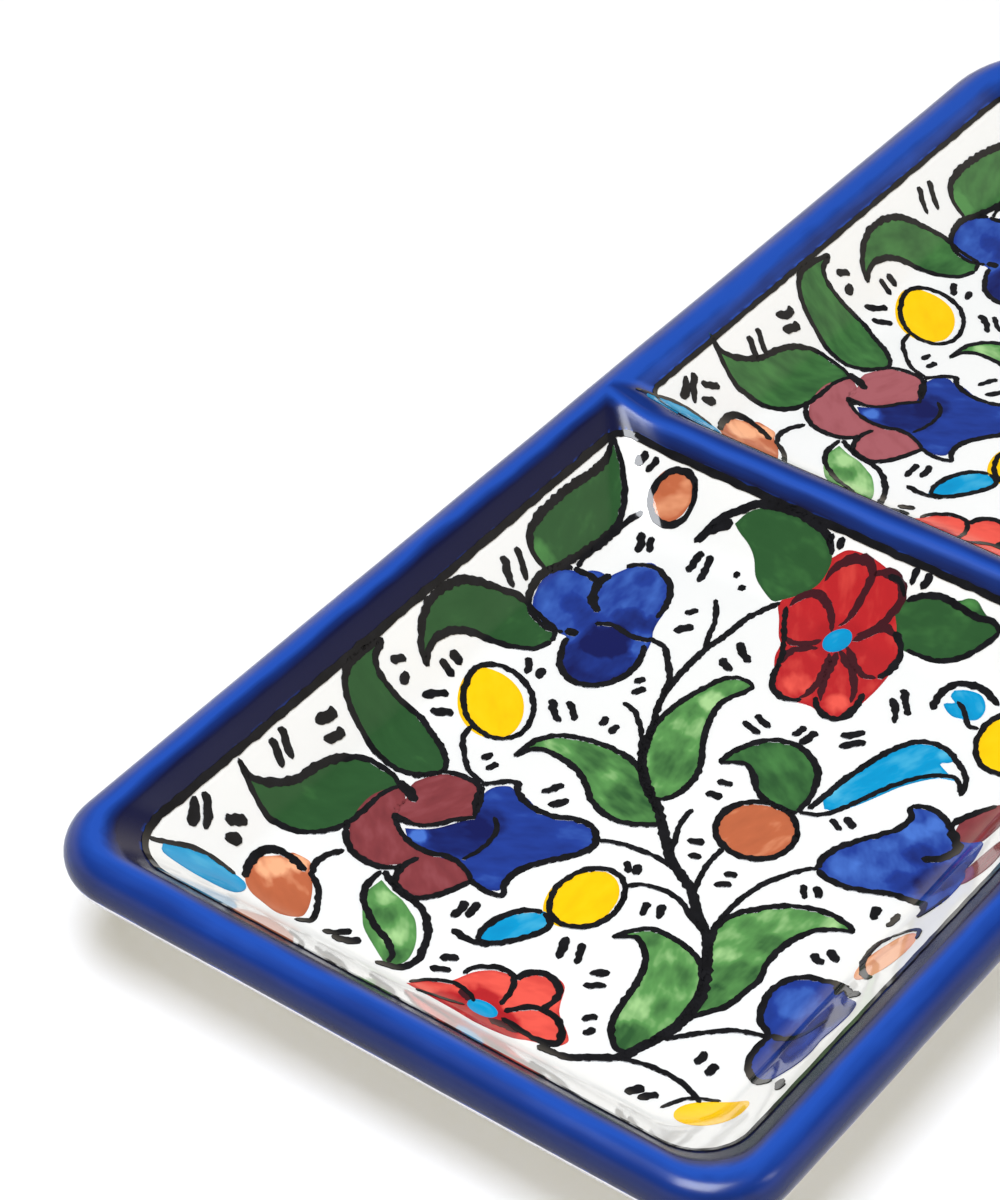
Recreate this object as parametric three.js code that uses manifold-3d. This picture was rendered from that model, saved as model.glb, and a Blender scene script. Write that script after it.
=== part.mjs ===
// Divided serving dish with two equal wells, in glazed earthenware.
// Millimetres, +Z up. The origin is the middle of the footprint, on the table.
// X runs across the dish and Y along it: the near well is at -Y and the far well at +Y.
//
// One clay casting carries everything. It is a thin wall of one thickness that rolls over at the rim,
// runs down into each well, and folds up between the wells as a hollow divider.
// The glaze coats are thin shells that lie on the clay: cobalt on the rim and the divider,
// white in the wells, on the outside and in the recess under the base. The foot ring stays bare.

import * as THREE from "three";
import { mergeVertices } from "three/addons/utils/BufferGeometryUtils.js";
import Module from "manifold-3d";

// Outline of the rim
const length = 249;
const width = 110;
const nearCornerRadius = 11.5;
const farCornerRadius = 22;

// Section through the rim and the wall
const height = 21;
const beadRadius = 3.7;
const wallAngle = 44; // degrees below the horizontal
const wallThickness = 5;
const wellDepth = 12.5; // from the crest of the rim to the floor
const floorFillet = 8;
const wellCornerRadius = 8; // plan radius of the well's corners at the floor

// Divider between the wells
const dividerDrop = 1.7; // its crest lies this far below the crest of the rim
const dividerBeadRadius = 3.7;
const junctionRadius = 1.2; // plan radius of the well's corner where the divider's crest meets the rim's
const junctionRise = 7; // length over which the divider's crest climbs to the rim's
const troughTopRadius = 1.6; // the fold's inner radius, seen from below
const troughEndMargin = 1.5; // from the end of the trough to the foot ring
const troughEndTaper = 3; // the trough is this much shorter at its top, at each end
const troughEndRounding = 0.9; // plan radius of the trough's ends, as a share of its half width

// Foot ring
const footWidth = 7;
const footCornerRadius = 9;
const footTaper = 0.5; // each side of the ring leans in by this much
const footEdge = 0.5; // rounding of the ring's lower edges

// Colour bands, measured in plan from a crest to the painted line
const rimBand = 5.4;
const dividerBand = 3.7;
const rimBandDrop = 4.6; // on the outside the cobalt ends this far below the crest

// Glaze coats
const glaze = 0.45; // thickness of a coat
const seat = 0.3; // clearance between a coat and the clay
const seam = 0.3; // clearance between two coats that meet
const bareFoot = 1.2; // the glaze is wiped off the foot up to this height

// Fineness of the curves
const cornerSteps = 7;
const underSteps = 5; // round the bead, from the wall to the widest point
const crestSteps = 5; // round the bead, from the widest point to the crest, and down into the well
const filletSteps = 4;
const riseSteps = 4;
const crestLap = 0.05; // two cuts that meet on a crest pass each other by this much
const cutMargin = 5; // a cutting solid runs past the surface that it cuts by this much
const leastRadius = 0.05; // a sharp corner keeps this radius, so that each ring has the same points
const mergeDistance = 1e-5; // points closer than this are one

const slope = THREE.MathUtils.degToRad(wallAngle);
const normalIn = Math.sin(slope);
const normalUp = Math.cos(slope);
const steepness = Math.tan(slope);
const crestX = width / 2 - beadRadius;
const crestY = length / 2 - beadRadius;
const floorZ = height - wellDepth;
const undersideZ = floorZ - wallThickness;
const near = -1;
const far = 1;

const wasm = await Module();
wasm.setup();

// Joining and cutting

function solidOf(geometry) {
  const merged = mergeVertices(geometry, mergeDistance);
  return new wasm.Manifold(
    new wasm.Mesh({
      numProp: 3,
      vertProperties: merged.attributes.position.array,
      triVerts: new Uint32Array(merged.index.array),
    }),
  );
}

function geometryOf(solid) {
  const mesh = solid.getMesh();
  const positions = new Float32Array(mesh.numVert * 3);
  for (let i = 0; i < mesh.numVert; i++) {
    positions.set(mesh.vertProperties.subarray(i * mesh.numProp, i * mesh.numProp + 3), i * 3);
  }
  const geometry = new THREE.BufferGeometry();
  geometry.setAttribute("position", new THREE.BufferAttribute(positions, 3));
  geometry.setIndex(new THREE.BufferAttribute(mesh.triVerts, 1));
  geometry.computeVertexNormals();
  return geometry;
}

// A closed solid through a stack of rings, listed from the bottom up.
// Each ring has the same number of points, counter-clockwise seen from above.
function loft(rings) {
  const count = rings[0].length;
  const positions = [];
  const triangles = [];
  rings.forEach((ring) => ring.forEach((p) => positions.push(p.x, p.y, p.z)));
  for (let i = 0; i + 1 < rings.length; i++) {
    for (let j = 0; j < count; j++) {
      const a = i * count + j;
      const b = i * count + ((j + 1) % count);
      triangles.push(a, b, b + count, a, b + count, a + count);
    }
  }
  const cap = (ring, first, turned) => {
    const middle = positions.length / 3;
    const centre = ring.reduce((sum, p) => sum.add(p), new THREE.Vector3()).divideScalar(count);
    positions.push(centre.x, centre.y, centre.z);
    for (let j = 0; j < count; j++) {
      const a = first + j;
      const b = first + ((j + 1) % count);
      triangles.push(...(turned ? [middle, b, a] : [middle, a, b]));
    }
  };
  cap(rings[0], 0, true);
  cap(rings[rings.length - 1], (rings.length - 1) * count, false);
  const geometry = new THREE.BufferGeometry();
  geometry.setAttribute("position", new THREE.Float32BufferAttribute(positions, 3));
  geometry.setIndex(triangles);
  return solidOf(geometry);
}

// A rounded rectangle as a ring of points at one height.
// The radii go round from the corner at +X -Y, counter-clockwise.
function roundedRing(x0, x1, y0, y1, radii, z) {
  const corners = [
    [x1, y0, -1, 1],
    [x1, y1, -1, -1],
    [x0, y1, 1, -1],
    [x0, y0, 1, 1],
  ];
  return corners.flatMap(([x, y, inX, inY], corner) => {
    const r = Math.max(radii[corner], leastRadius);
    const start = -Math.PI / 2 + (corner * Math.PI) / 2;
    return Array.from({ length: cornerSteps + 1 }, (_, step) => {
      const angle = start + (step / cornerSteps) * (Math.PI / 2);
      return new THREE.Vector3(
        x + inX * r + r * Math.cos(angle),
        y + inY * r + r * Math.sin(angle),
        z,
      );
    });
  });
}

// A ring that lies a distance inside the outline of the whole dish
function dishRing(inward, nearRadius, farRadius, z) {
  const x = width / 2 - inward;
  const y = length / 2 - inward;
  return roundedRing(-x, x, -y, y, [nearRadius, farRadius, farRadius, nearRadius], z);
}

// The outside

const beadZ = height - beadRadius; // the bead's centre
const wallOffset = wallThickness - beadRadius; // from the bead's centre to the outside of the wall

// Height of the outside of the wall at a distance in from the rim
function outsideZ(inward, inset) {
  return beadZ - (wallOffset - inset) / normalUp - (inward - beadRadius) * steepness;
}

const footOuter = beadRadius + (beadZ - wallOffset / normalUp - undersideZ) / steepness;
const footInner = footOuter + footWidth;

// The whole dish as a block, with its surface moved into the clay by inset.
// The bottom of the foot is bare, so it stays on the table.
function outerBlock(inset) {
  const outer = footOuter + inset;
  const foot = (inward, z) => dishRing(inward, footCornerRadius, footCornerRadius, z);
  const rings = [
    foot(outer + footTaper + footEdge, 0),
    foot(outer + footTaper, footEdge),
    foot(outer, outsideZ(outer, inset)),
  ];
  // The bead starts where its circle leaves the wall, and rolls outwards and up to the crest
  const radius = beadRadius - inset;
  const offset = wallOffset - inset;
  const reach = Math.sqrt(radius ** 2 - offset ** 2);
  const start = 2 * Math.PI + Math.atan2(
    -offset * normalUp - reach * normalIn,
    -offset * normalIn + reach * normalUp,
  );
  const underAngles = Array.from({ length: underSteps }, (_, step) => {
    return THREE.MathUtils.lerp(start, Math.PI, step / underSteps);
  });
  const overAngles = Array.from({ length: crestSteps + 1 }, (_, step) => {
    return Math.PI * (1 - step / (2 * crestSteps));
  });
  for (const angle of [...underAngles, ...overAngles]) {
    const lap = angle > Math.PI / 2 ? 0 : crestLap;
    const inward = beadRadius + radius * Math.cos(angle) + lap;
    const z = beadZ + radius * Math.sin(angle);
    rings.push(dishRing(inward, nearCornerRadius - inward, farCornerRadius - inward, z));
  }
  return loft(rings);
}

// The wells

// Section from a crest down to the floor: how far in from the crest, how high, and the surface normal
function wellProfile(crestZ, crestRadius) {
  const points = [];
  for (let step = 0; step <= crestSteps; step++) {
    const angle = (slope * step) / crestSteps;
    points.push({
      inward: crestRadius * Math.sin(angle),
      z: crestZ - crestRadius + crestRadius * Math.cos(angle),
      angle,
    });
  }
  const wallLevel = crestRadius + (crestZ - crestRadius) * normalUp;
  const filletZ = floorZ + floorFillet;
  const filletInward = (wallLevel + floorFillet - filletZ * normalUp) / normalIn;
  for (let step = 0; step <= filletSteps; step++) {
    const angle = slope * (1 - step / filletSteps);
    points.push({
      inward: filletInward - floorFillet * Math.sin(angle),
      z: filletZ - floorFillet * Math.cos(angle),
      angle,
    });
  }
  return points;
}

const dividerZ = height - dividerDrop;
const rimProfile = wellProfile(height, beadRadius);
const dividerProfile = wellProfile(dividerZ, dividerBeadRadius);
const floorInward = rimProfile[rimProfile.length - 1].inward;

// Plan radii of the well's outer and inner corners at a distance in from the crest
function cornerRadii(side, inward) {
  const share = Math.min(inward / floorInward, 1);
  const rimRadius = (side === near ? nearCornerRadius : farCornerRadius) - beadRadius;
  return {
    outer: THREE.MathUtils.lerp(rimRadius, wellCornerRadius, share),
    inner: THREE.MathUtils.lerp(junctionRadius, wellCornerRadius, share),
  };
}

// The far well is drawn as a near one, and turned over
function turnedTo(side, ring) {
  if (side === near) return ring;
  return ring.map((p) => new THREE.Vector3(p.x, -p.y, p.z)).reverse();
}

// One ring of a well's surface: it follows the rim's section on three sides and the divider's on the fourth
function wellRing(side, level, inset) {
  const rim = rimProfile[level];
  const divider = dividerProfile[level];
  const shift = inset * Math.sin(rim.angle);
  const lap = level === 0 ? crestLap : 0;
  const x = crestX - rim.inward + shift + lap;
  const y0 = -(crestY - rim.inward + shift + lap);
  const y1 = -divider.inward + shift + lap;
  const radii = cornerRadii(side, rim.inward);
  const outer = radii.outer + shift + lap;
  const inner = radii.inner + shift + lap;
  const rimZ = rim.z - inset * Math.cos(rim.angle);
  const dividerSideZ = divider.z - inset * Math.cos(divider.angle);
  const plan = roundedRing(-x, x, y0, y1, [outer, inner, inner, outer], rimZ);
  const perCorner = cornerSteps + 1;
  const arc = (inner * Math.PI) / 2;
  const zAt = (along) => {
    const share = THREE.MathUtils.smoothstep(along, 0, arc + junctionRise);
    return THREE.MathUtils.lerp(rimZ, dividerSideZ, share);
  };
  for (let step = 0; step <= cornerSteps; step++) {
    const z = zAt((arc * step) / cornerSteps);
    plan[perCorner + step].z = z;
    plan[3 * perCorner - 1 - step].z = z;
  }
  const rise = Array.from({ length: riseSteps }, (_, step) => {
    const along = (junctionRise * (step + 1)) / riseSteps;
    return new THREE.Vector3(x - inner - along, y1, zAt(arc + along));
  });
  const fall = rise.map((p) => new THREE.Vector3(-p.x, p.y, p.z)).reverse();
  const ring = [
    ...plan.slice(0, 2 * perCorner),
    ...rise,
    ...fall,
    ...plan.slice(2 * perCorner),
  ];
  return turnedTo(side, ring);
}

// The space above a well's surface, with the surface moved into the clay by inset
function cavity(side, inset) {
  const rings = rimProfile.map((_, level) => wellRing(side, level, inset)).reverse();
  const crest = rings[rings.length - 1];
  const top = height + cutMargin;
  return loft([...rings, crest.map((p) => new THREE.Vector3(p.x, p.y, top))]);
}

// The underside

// The recess inside the foot ring, and the trough under the divider, moved into the clay by inset
function underCut(inset) {
  const radius = Math.max(footCornerRadius - footWidth, footEdge) + inset;
  const ringAt = (inward, z) => dishRing(inward - inset, radius, radius, z);
  const edge = footInner - footTaper - footEdge;
  const recess = loft([
    ringAt(edge, -cutMargin),
    ringAt(edge, 0),
    ringAt(footInner - footTaper, footEdge),
    ringAt(footInner, undersideZ + inset),
  ]);

  // The trough runs under the divider's slopes at the wall's thickness, with a rounded top
  const crestLevel = dividerBeadRadius + (dividerZ - dividerBeadRadius) * normalUp;
  const level = crestLevel - wallThickness + inset;
  const topRadius = troughTopRadius + inset;
  const topCentre = (level - topRadius) / normalUp;
  const baseZ = undersideZ - footEdge;
  const reach = width / 2 - footInner - troughEndMargin + inset;
  const topZ = topCentre + topRadius;
  const section = [{ half: (level - baseZ * normalUp) / normalIn, z: baseZ }];
  for (const share of [1, 2 / 3, 1 / 3]) {
    const angle = slope * share;
    section.push({ half: topRadius * Math.sin(angle), z: topCentre + topRadius * Math.cos(angle) });
  }
  const trough = loft(section.map(({ half, z }) => {
    const x = reach - (troughEndTaper * (z - baseZ)) / (topZ - baseZ);
    const end = half * troughEndRounding;
    return roundedRing(-x, x, -half, half, [end, end, end, end], z);
  }));
  return recess.add(trough);
}

// Where one coat ends and the next begins

function prism(ringAt, z0, z1) {
  return loft([ringAt(z0), ringAt(z1)]);
}

// Everything between two heights
function slab(z0, z1) {
  return prism((z) => dishRing(-cutMargin, nearCornerRadius, farCornerRadius, z), z0, z1);
}

// The white part of a well in plan, drawn in by a margin from the painted line
function whitePart(side, margin) {
  const x = crestX - rimBand - margin;
  const { outer, inner } = cornerRadii(side, rimBand);
  const radii = [outer - margin, inner - margin, inner - margin, outer - margin];
  return prism(
    (z) => turnedTo(
      side,
      roundedRing(-x, x, -(crestY - rimBand - margin), -dividerBand - margin, radii, z),
    ),
    0,
    height + cutMargin,
  );
}

// The part of the cobalt that belongs to the divider
function dividerPart(margin) {
  const x = crestX - rimBand - margin;
  const y = dividerBand + wellCornerRadius;
  const radii = Array(4).fill(leastRadius);
  return prism((z) => roundedRing(-x, x, -y, y, radii, z), 0, height + cutMargin);
}

const upTo = (inset) => outerBlock(inset).subtract(cavity(near, inset)).subtract(cavity(far, inset));
const coat = upTo(0).subtract(upTo(glaze));
const cobaltZ = height - rimBandDrop;
const cobalt = coat
  .intersect(slab(cobaltZ, height + cutMargin))
  .subtract(whitePart(near, -seam / 2))
  .subtract(whitePart(far, -seam / 2));
const lining = (side) => cavity(side, glaze).subtract(cavity(side, 0)).intersect(whitePart(side, seam / 2));

// The pieces

const claySide = glaze + seat;
const solids = {
  clay_body: upTo(claySide).subtract(underCut(claySide)),
  rim_glaze: cobalt.subtract(dividerPart(0)),
  divider_glaze: cobalt.intersect(dividerPart(seam)),
  near_well_glaze: lining(near),
  far_well_glaze: lining(far),
  outside_glaze: outerBlock(0).subtract(outerBlock(glaze)).intersect(slab(bareFoot, cobaltZ - seam)),
  underside_glaze: underCut(glaze).subtract(underCut(0)).intersect(slab(bareFoot, height)),
};

const finishes = {
  clay: new THREE.MeshStandardMaterial({ name: "clay", color: 0xd9c7ab, roughness: 0.85 }),
  cobalt: new THREE.MeshStandardMaterial({ name: "cobalt_glaze", color: 0x1c3c9c, roughness: 0.12 }),
  white: new THREE.MeshStandardMaterial({ name: "white_glaze", color: 0xf1f1ec, roughness: 0.1 }),
};

const finishOf = {
  clay_body: finishes.clay,
  rim_glaze: finishes.cobalt,
  divider_glaze: finishes.cobalt,
  near_well_glaze: finishes.white,
  far_well_glaze: finishes.white,
  outside_glaze: finishes.white,
  underside_glaze: finishes.white,
};

const dish = new THREE.Group();
for (const [name, solid] of Object.entries(solids)) {
  const mesh = new THREE.Mesh(geometryOf(solid), finishOf[name]);
  mesh.name = name;
  dish.add(mesh);
}

export default dish;
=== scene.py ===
"""Looks of a divided serving dish: hand-painted, glazed earthenware with two wells.

The glaze is laid over the packed clay body as smooth coats, and the painting lies on the glaze
as thin films of colour, one piece for each colour in each well.
Lengths are in millimetres up to the point where a vertex is placed, and in metres from there.
"""

import math
import random

import bmesh
import bpy
from bpy.props import FloatProperty, FloatVectorProperty, IntProperty, PointerProperty
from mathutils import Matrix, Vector, noise
from mathutils.bvhtree import BVHTree
from mathutils.interpolate import poly_3d_calc


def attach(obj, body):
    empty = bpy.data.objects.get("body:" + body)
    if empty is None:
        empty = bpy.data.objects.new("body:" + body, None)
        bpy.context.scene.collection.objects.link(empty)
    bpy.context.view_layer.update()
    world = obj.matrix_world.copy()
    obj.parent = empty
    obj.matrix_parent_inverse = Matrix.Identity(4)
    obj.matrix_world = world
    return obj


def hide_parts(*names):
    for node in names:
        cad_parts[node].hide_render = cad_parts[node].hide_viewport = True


bl_info = {
    "name": "Divided dish",
    "version": (1, 0, 0),
    "blender": (4, 5, 0),
    "location": "View3D > Sidebar > Divided dish",
    "description": "Glaze, brush painting and studio for a divided serving dish",
    "category": "Object",
}

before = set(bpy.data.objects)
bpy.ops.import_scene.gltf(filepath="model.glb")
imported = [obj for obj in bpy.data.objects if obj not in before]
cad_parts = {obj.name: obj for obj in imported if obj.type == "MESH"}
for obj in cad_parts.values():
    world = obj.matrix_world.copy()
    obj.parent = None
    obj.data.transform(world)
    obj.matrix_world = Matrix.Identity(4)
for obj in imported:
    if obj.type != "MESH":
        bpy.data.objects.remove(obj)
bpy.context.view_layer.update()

MM = 0.001

# Form of the dish, as in the part's source

LENGTH = 249
WIDTH = 110
HEIGHT = 21
NEAR_CORNER = 11.5
FAR_CORNER = 22
BEAD = 3.7
WALL_SLOPE = math.radians(44)
WALL = 5
WELL_DEPTH = 12.5
FLOOR_FILLET = 8
WELL_CORNER = 8
DIVIDER_DROP = 1.7
DIVIDER_BEAD = 3.7
JUNCTION = 1.2
JUNCTION_RISE = 7
FOOT_CORNER = 9
FOOT_TAPER = 0.5
BARE_FOOT = 1.2
DIVIDER_BAND = 4.1
RIM_BAND_DROP = 4.6
GLAZE = 0.45

CREST_X = WIDTH / 2 - BEAD
CREST_Y = LENGTH / 2 - BEAD
FLOOR_Z = HEIGHT - WELL_DEPTH
BEAD_Z = HEIGHT - BEAD
WELL_PITCH = 113.3  # from the near well's painting to the far well's
NEAR, FAR = -1, 1
RIM_BAND = {NEAR: 4.9, FAR: 4.1}  # how far in from the crest each well's painted line runs


def linear(hex_colour):
    """An sRGB hex colour as linear red, green and blue."""
    channels = [int(hex_colour[i : i + 2], 16) / 255 for i in (1, 3, 5)]
    return tuple(c / 12.92 if c <= 0.04045 else ((c + 0.055) / 1.055) ** 2.4 for c in channels)


def colour_property(name, description, hex_colour):
    return FloatVectorProperty(
        name=name, description=description, subtype="COLOR", size=3, min=0, max=1, default=linear(hex_colour)
    )


class DishForm(bpy.types.PropertyGroup):
    """Sizes that a user would change."""

    wave: FloatProperty(
        name="Hand-made wave",
        description="How far the glaze's surface dips where the hand-pressed clay is uneven",
        default=0.2 * MM,
        min=0,
        unit="LENGTH",
    )
    paint: FloatProperty(
        name="Paint thickness",
        description="How far the top of the thickest colour stands on the glaze",
        default=0.16 * MM,
        min=0.02 * MM,
        unit="LENGTH",
    )
    line_width: FloatProperty(
        name="Line width",
        description="Width of a line from the outline brush",
        default=0.9 * MM,
        min=0.2 * MM,
        unit="LENGTH",
    )
    cell: FloatProperty(
        name="Paint cell",
        description="Size of the faces in a field of colour",
        default=0.9 * MM,
        min=0.4 * MM,
        unit="LENGTH",
    )
    seed: IntProperty(name="Seed", description="Start of the brush's small accidents", default=11)


class DishColours(bpy.types.PropertyGroup):
    """Colours of the glazes and underglaze paints."""

    white: colour_property("White", "Tin-white glaze", "#F2F2EF")
    clay: colour_property("Biscuit", "Bare fired clay on the foot", "#D8C4A6")
    cobalt: colour_property("Cobalt", "Cobalt glaze at its usual thickness", "#0F3C9A")
    # deep cobalt also paints shade under the rim and a dark reflection down the near well's wall
    cobalt_pooled_and_shade: colour_property("Deep cobalt", "Cobalt glaze where it pools", "#070C36")
    # pale cobalt also paints the sheen along the crest and the divider
    cobalt_thin_and_sheen: colour_property("Pale cobalt", "Cobalt glaze where it thins over an edge", "#1B4BAC")
    black: colour_property("Black", "Manganese-black outline", "#0B0B0E")
    petal_blue: colour_property("Petal blue", "Cobalt wash on petals", "#1F3C94")
    petal_blue_deep: colour_property("Deep petal blue", "Cobalt wash laid twice", "#0E1654")
    green: colour_property("Green", "Copper-green wash", "#2C562E")
    green_deep: colour_property("Deep green", "Copper-green wash laid twice", "#1E4422")
    green_pale: colour_property("Light green", "Thin copper-green wash", "#5B9550")
    yellow: colour_property("Yellow", "Antimony-yellow wash", "#FFCA00")
    orange: colour_property("Orange", "Iron-orange wash", "#BE6642")
    red: colour_property("Red", "Red wash", "#B82428")
    maroon: colour_property("Maroon", "Manganese-maroon wash", "#843A3E")
    turquoise: colour_property("Turquoise", "Copper-turquoise wash", "#0096CA")


# The glazed surface


def mix(a, b, share):
    """Between two numbers, by a share from 0 to 1."""
    return a + (b - a) * share


def smooth(share):
    """A share from 0 to 1 that starts and ends gently."""
    share = min(max(share, 0), 1)
    return share * share * (3 - 2 * share)


def section(crest_z, crest_radius, level):
    """How far in from the crest and how high a well's surface is.

    level is 0 on the crest, 1 and 2 at the ends of the straight wall, and 3 on the floor.
    """
    if level <= 1:
        angle = WALL_SLOPE * level
        return crest_radius * math.sin(angle), crest_z - crest_radius * (1 - math.cos(angle))
    wall_level = crest_radius + (crest_z - crest_radius) * math.cos(WALL_SLOPE)
    fillet_z = FLOOR_Z + FLOOR_FILLET
    fillet_in = (wall_level + FLOOR_FILLET - fillet_z * math.cos(WALL_SLOPE)) / math.sin(WALL_SLOPE)
    angle = WALL_SLOPE * (3 - max(level, 2))
    foot = fillet_in - FLOOR_FILLET * math.sin(angle), fillet_z - FLOOR_FILLET * math.cos(angle)
    if level >= 2:
        return foot
    top = section(crest_z, crest_radius, 1)
    return mix(top[0], foot[0], level - 1), mix(top[1], foot[1], level - 1)


FLOOR_IN = section(HEIGHT, BEAD, 3)[0]
DIVIDER_Z = HEIGHT - DIVIDER_DROP


def ring_point(place, x0, x1, y0, y1, radii):
    """A point on a rounded rectangle, and the direction that faces out of it.

    place runs from 0 to 8, counter-clockwise from the corner at +X -Y:
    an even whole part is a corner, and an odd one is the side after it.
    """
    part = int(place) % 8
    share = place - int(place)
    corner = part // 2

    def on_corner(index, turn):
        x, inward_x = ((x1, -1), (x1, -1), (x0, 1), (x0, 1))[index]
        y, inward_y = ((y0, 1), (y1, -1), (y1, -1), (y0, 1))[index]
        radius = radii[index]
        angle = (index + turn - 1) * math.pi / 2
        out = Vector((math.cos(angle), math.sin(angle)))
        return Vector((x + inward_x * radius, y + inward_y * radius)) + radius * out, out

    if part % 2 == 0:
        return on_corner(corner, share)
    start, out = on_corner(corner, 1)
    end, _ = on_corner((corner + 1) % 4, 0)
    return start.lerp(end, share), out


def corner_of(side):
    """The outer corner radius of the dish at a side."""
    return NEAR_CORNER if side == NEAR else FAR_CORNER


def divider_share(place, inner_radius, half_width, x):
    """0 where a ring of a well follows the rim, and 1 where it follows the divider."""
    arc = inner_radius * math.pi / 2
    if 2 <= place <= 3:
        along = arc * (place - 2)
    elif 4 <= place <= 5:
        along = arc * (5 - place)
    elif 3 < place < 4:
        along = arc + half_width - inner_radius - abs(x)
    else:
        return 0
    return smooth(along / (arc + JUNCTION_RISE))


def well_point(side, place, level):
    """A point of a well's surface. Past level 3 it moves over the floor, to the middle at level 4."""
    rim_in, rim_z = section(HEIGHT, BEAD, min(level, 3))
    divider_in, divider_z = section(DIVIDER_Z, DIVIDER_BEAD, min(level, 3))
    turn = min(rim_in / FLOOR_IN, 1)
    outer = mix(corner_of(side) - BEAD, WELL_CORNER, turn)
    inner = mix(JUNCTION, WELL_CORNER, turn)
    x = CREST_X - rim_in
    y0 = rim_in - CREST_Y
    point, _ = ring_point(place, -x, x, y0, -divider_in, (outer, inner, inner, outer))
    z = mix(rim_z, divider_z, divider_share(place, inner, x, point.x))
    if level > 3:
        middle = Vector((0, (y0 - divider_in) / 2))
        point = middle.lerp(point, 4 - level)
    return Vector((point.x, -side * point.y, z))


def painted_level(side, place):
    """The level of the painted line between the cobalt and the white."""
    levels = []
    bands = (HEIGHT, BEAD, RIM_BAND[side]), (DIVIDER_Z, DIVIDER_BEAD, DIVIDER_BAND)
    for crest_z, crest_radius, band in bands:
        start, end = (section(crest_z, crest_radius, level)[0] for level in (1, 2))
        levels.append(1 + (band - start) / (end - start))
    x = CREST_X - RIM_BAND[side]
    inner = mix(JUNCTION, WELL_CORNER, RIM_BAND[side] / FLOOR_IN)
    point = well_point(side, place, levels[0])
    return mix(*levels, divider_share(place, inner, x, point.x))


CORNER_STEPS = 14
JUNCTION_STEPS = 10
LONG_STEPS = 76
SHORT_STEPS = 62


def shares(count):
    """Even steps from 0 up to, and without, 1."""
    return [i / count for i in range(count)]


def well_places():
    """Where the columns of a well's grid stand, once round and back to the start."""
    steps = (CORNER_STEPS, LONG_STEPS, JUNCTION_STEPS, SHORT_STEPS)
    steps += (JUNCTION_STEPS, LONG_STEPS, CORNER_STEPS, SHORT_STEPS)
    return [part + share for part, count in enumerate(steps) for share in shares(count)] + [8]


def outer_places():
    """Where the columns of the outer grid stand, so that they meet the wells' columns on the crest."""
    near_end = CREST_Y - (NEAR_CORNER - BEAD)
    far_end = CREST_Y - (FAR_CORNER - BEAD)
    whole = near_end + far_end
    side_shares = shares(LONG_STEPS) + [1]
    up = [share * (near_end - JUNCTION) / whole for share in side_shares]
    up += [1 - share * (far_end - JUNCTION) / whole for share in reversed(side_shares)]
    steps = [[0 + s for s in shares(CORNER_STEPS)], [1 + s for s in up[:-1]]]
    steps += [[2 + s for s in shares(CORNER_STEPS)], [3 + s for s in shares(SHORT_STEPS)]]
    steps += [[4 + s for s in shares(CORNER_STEPS)], [5 + 1 - s for s in reversed(up[1:])]]
    steps += [[6 + s for s in shares(CORNER_STEPS)], [7 + s for s in shares(SHORT_STEPS)], [8]]
    return [place for part in steps for place in part]


# The outside wall, from where it leaves the bead down to the foot
WALL_OFFSET = WALL - BEAD
FOOT_IN = BEAD + (BEAD_Z - WALL_OFFSET / math.cos(WALL_SLOPE) - (FLOOR_Z - WALL)) / math.tan(WALL_SLOPE)


def outer_point(place, level):
    """A point of the outside.

    level is 0 on the crest, 1 at the widest place, 2 at the end of the bead, 3 at the top of the foot
    and 4 at its bare edge.
    """
    crest_radii = (NEAR_CORNER - BEAD, FAR_CORNER - BEAD, FAR_CORNER - BEAD, NEAR_CORNER - BEAD)
    crest, out = ring_point(place, -CREST_X, CREST_X, -CREST_Y, CREST_Y, crest_radii)
    reach = math.sqrt(BEAD**2 - WALL_OFFSET**2)
    end_x = -WALL_OFFSET * math.sin(WALL_SLOPE) + reach * math.cos(WALL_SLOPE)
    end_z = -WALL_OFFSET * math.cos(WALL_SLOPE) - reach * math.sin(WALL_SLOPE)
    end_angle = math.pi / 2 + math.atan2(-end_z, -end_x)
    angle = mix(0, math.pi / 2, level) if level <= 1 else mix(math.pi / 2, end_angle, min(level, 2) - 1)
    bead = crest + out * BEAD * math.sin(angle)
    z = BEAD_Z + BEAD * math.cos(angle)
    if level <= 2:
        return Vector((bead.x, bead.y, z))
    x = WIDTH / 2 - FOOT_IN
    y = LENGTH / 2 - FOOT_IN
    foot, foot_out = ring_point(place, -x, x, -y, y, (FOOT_CORNER,) * 4)
    foot_z = FLOOR_Z - WALL
    if level <= 3:
        point = bead.lerp(foot, level - 2)
        return Vector((point.x, point.y, mix(z, foot_z, level - 2)))
    point = foot - foot_out * FOOT_TAPER * (level - 3)
    return Vector((point.x, point.y, mix(foot_z, BARE_FOOT, level - 3)))


def short_share(place):
    """0 on the long sides of a ring, 1 on its short sides, and between them round the corners."""
    part = int(place) % 8
    share = place - int(place)
    return {1: 0, 5: 0, 3: 1, 7: 1, 0: 1 - share, 4: 1 - share, 2: share, 6: share}[part]


def lay_grid(bm, columns, rows, coat, place, brushed=None):
    """Lays a grid of faces on a surface. place gives the point, in millimetres, for a column and a row.

    brushed gives the brush's place there: how far from the crest towards the edge of the colour,
    and the short share.
    """
    before = set(bm.faces)
    across = bm.verts.layers.float["across"]
    short = bm.verts.layers.float["short"]
    made = bmesh.ops.create_grid(bm, x_segments=columns, y_segments=rows, size=1)["verts"]
    for vertex in made:
        column = round((vertex.co.x + 1) / 2 * columns)
        row = round((vertex.co.y + 1) / 2 * rows)
        vertex.co = place(column, row) * MM
        if brushed:
            vertex[across], vertex[short] = brushed(column, row)
    for face in bm.faces:
        if face not in before:
            face.material_index = coat


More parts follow.
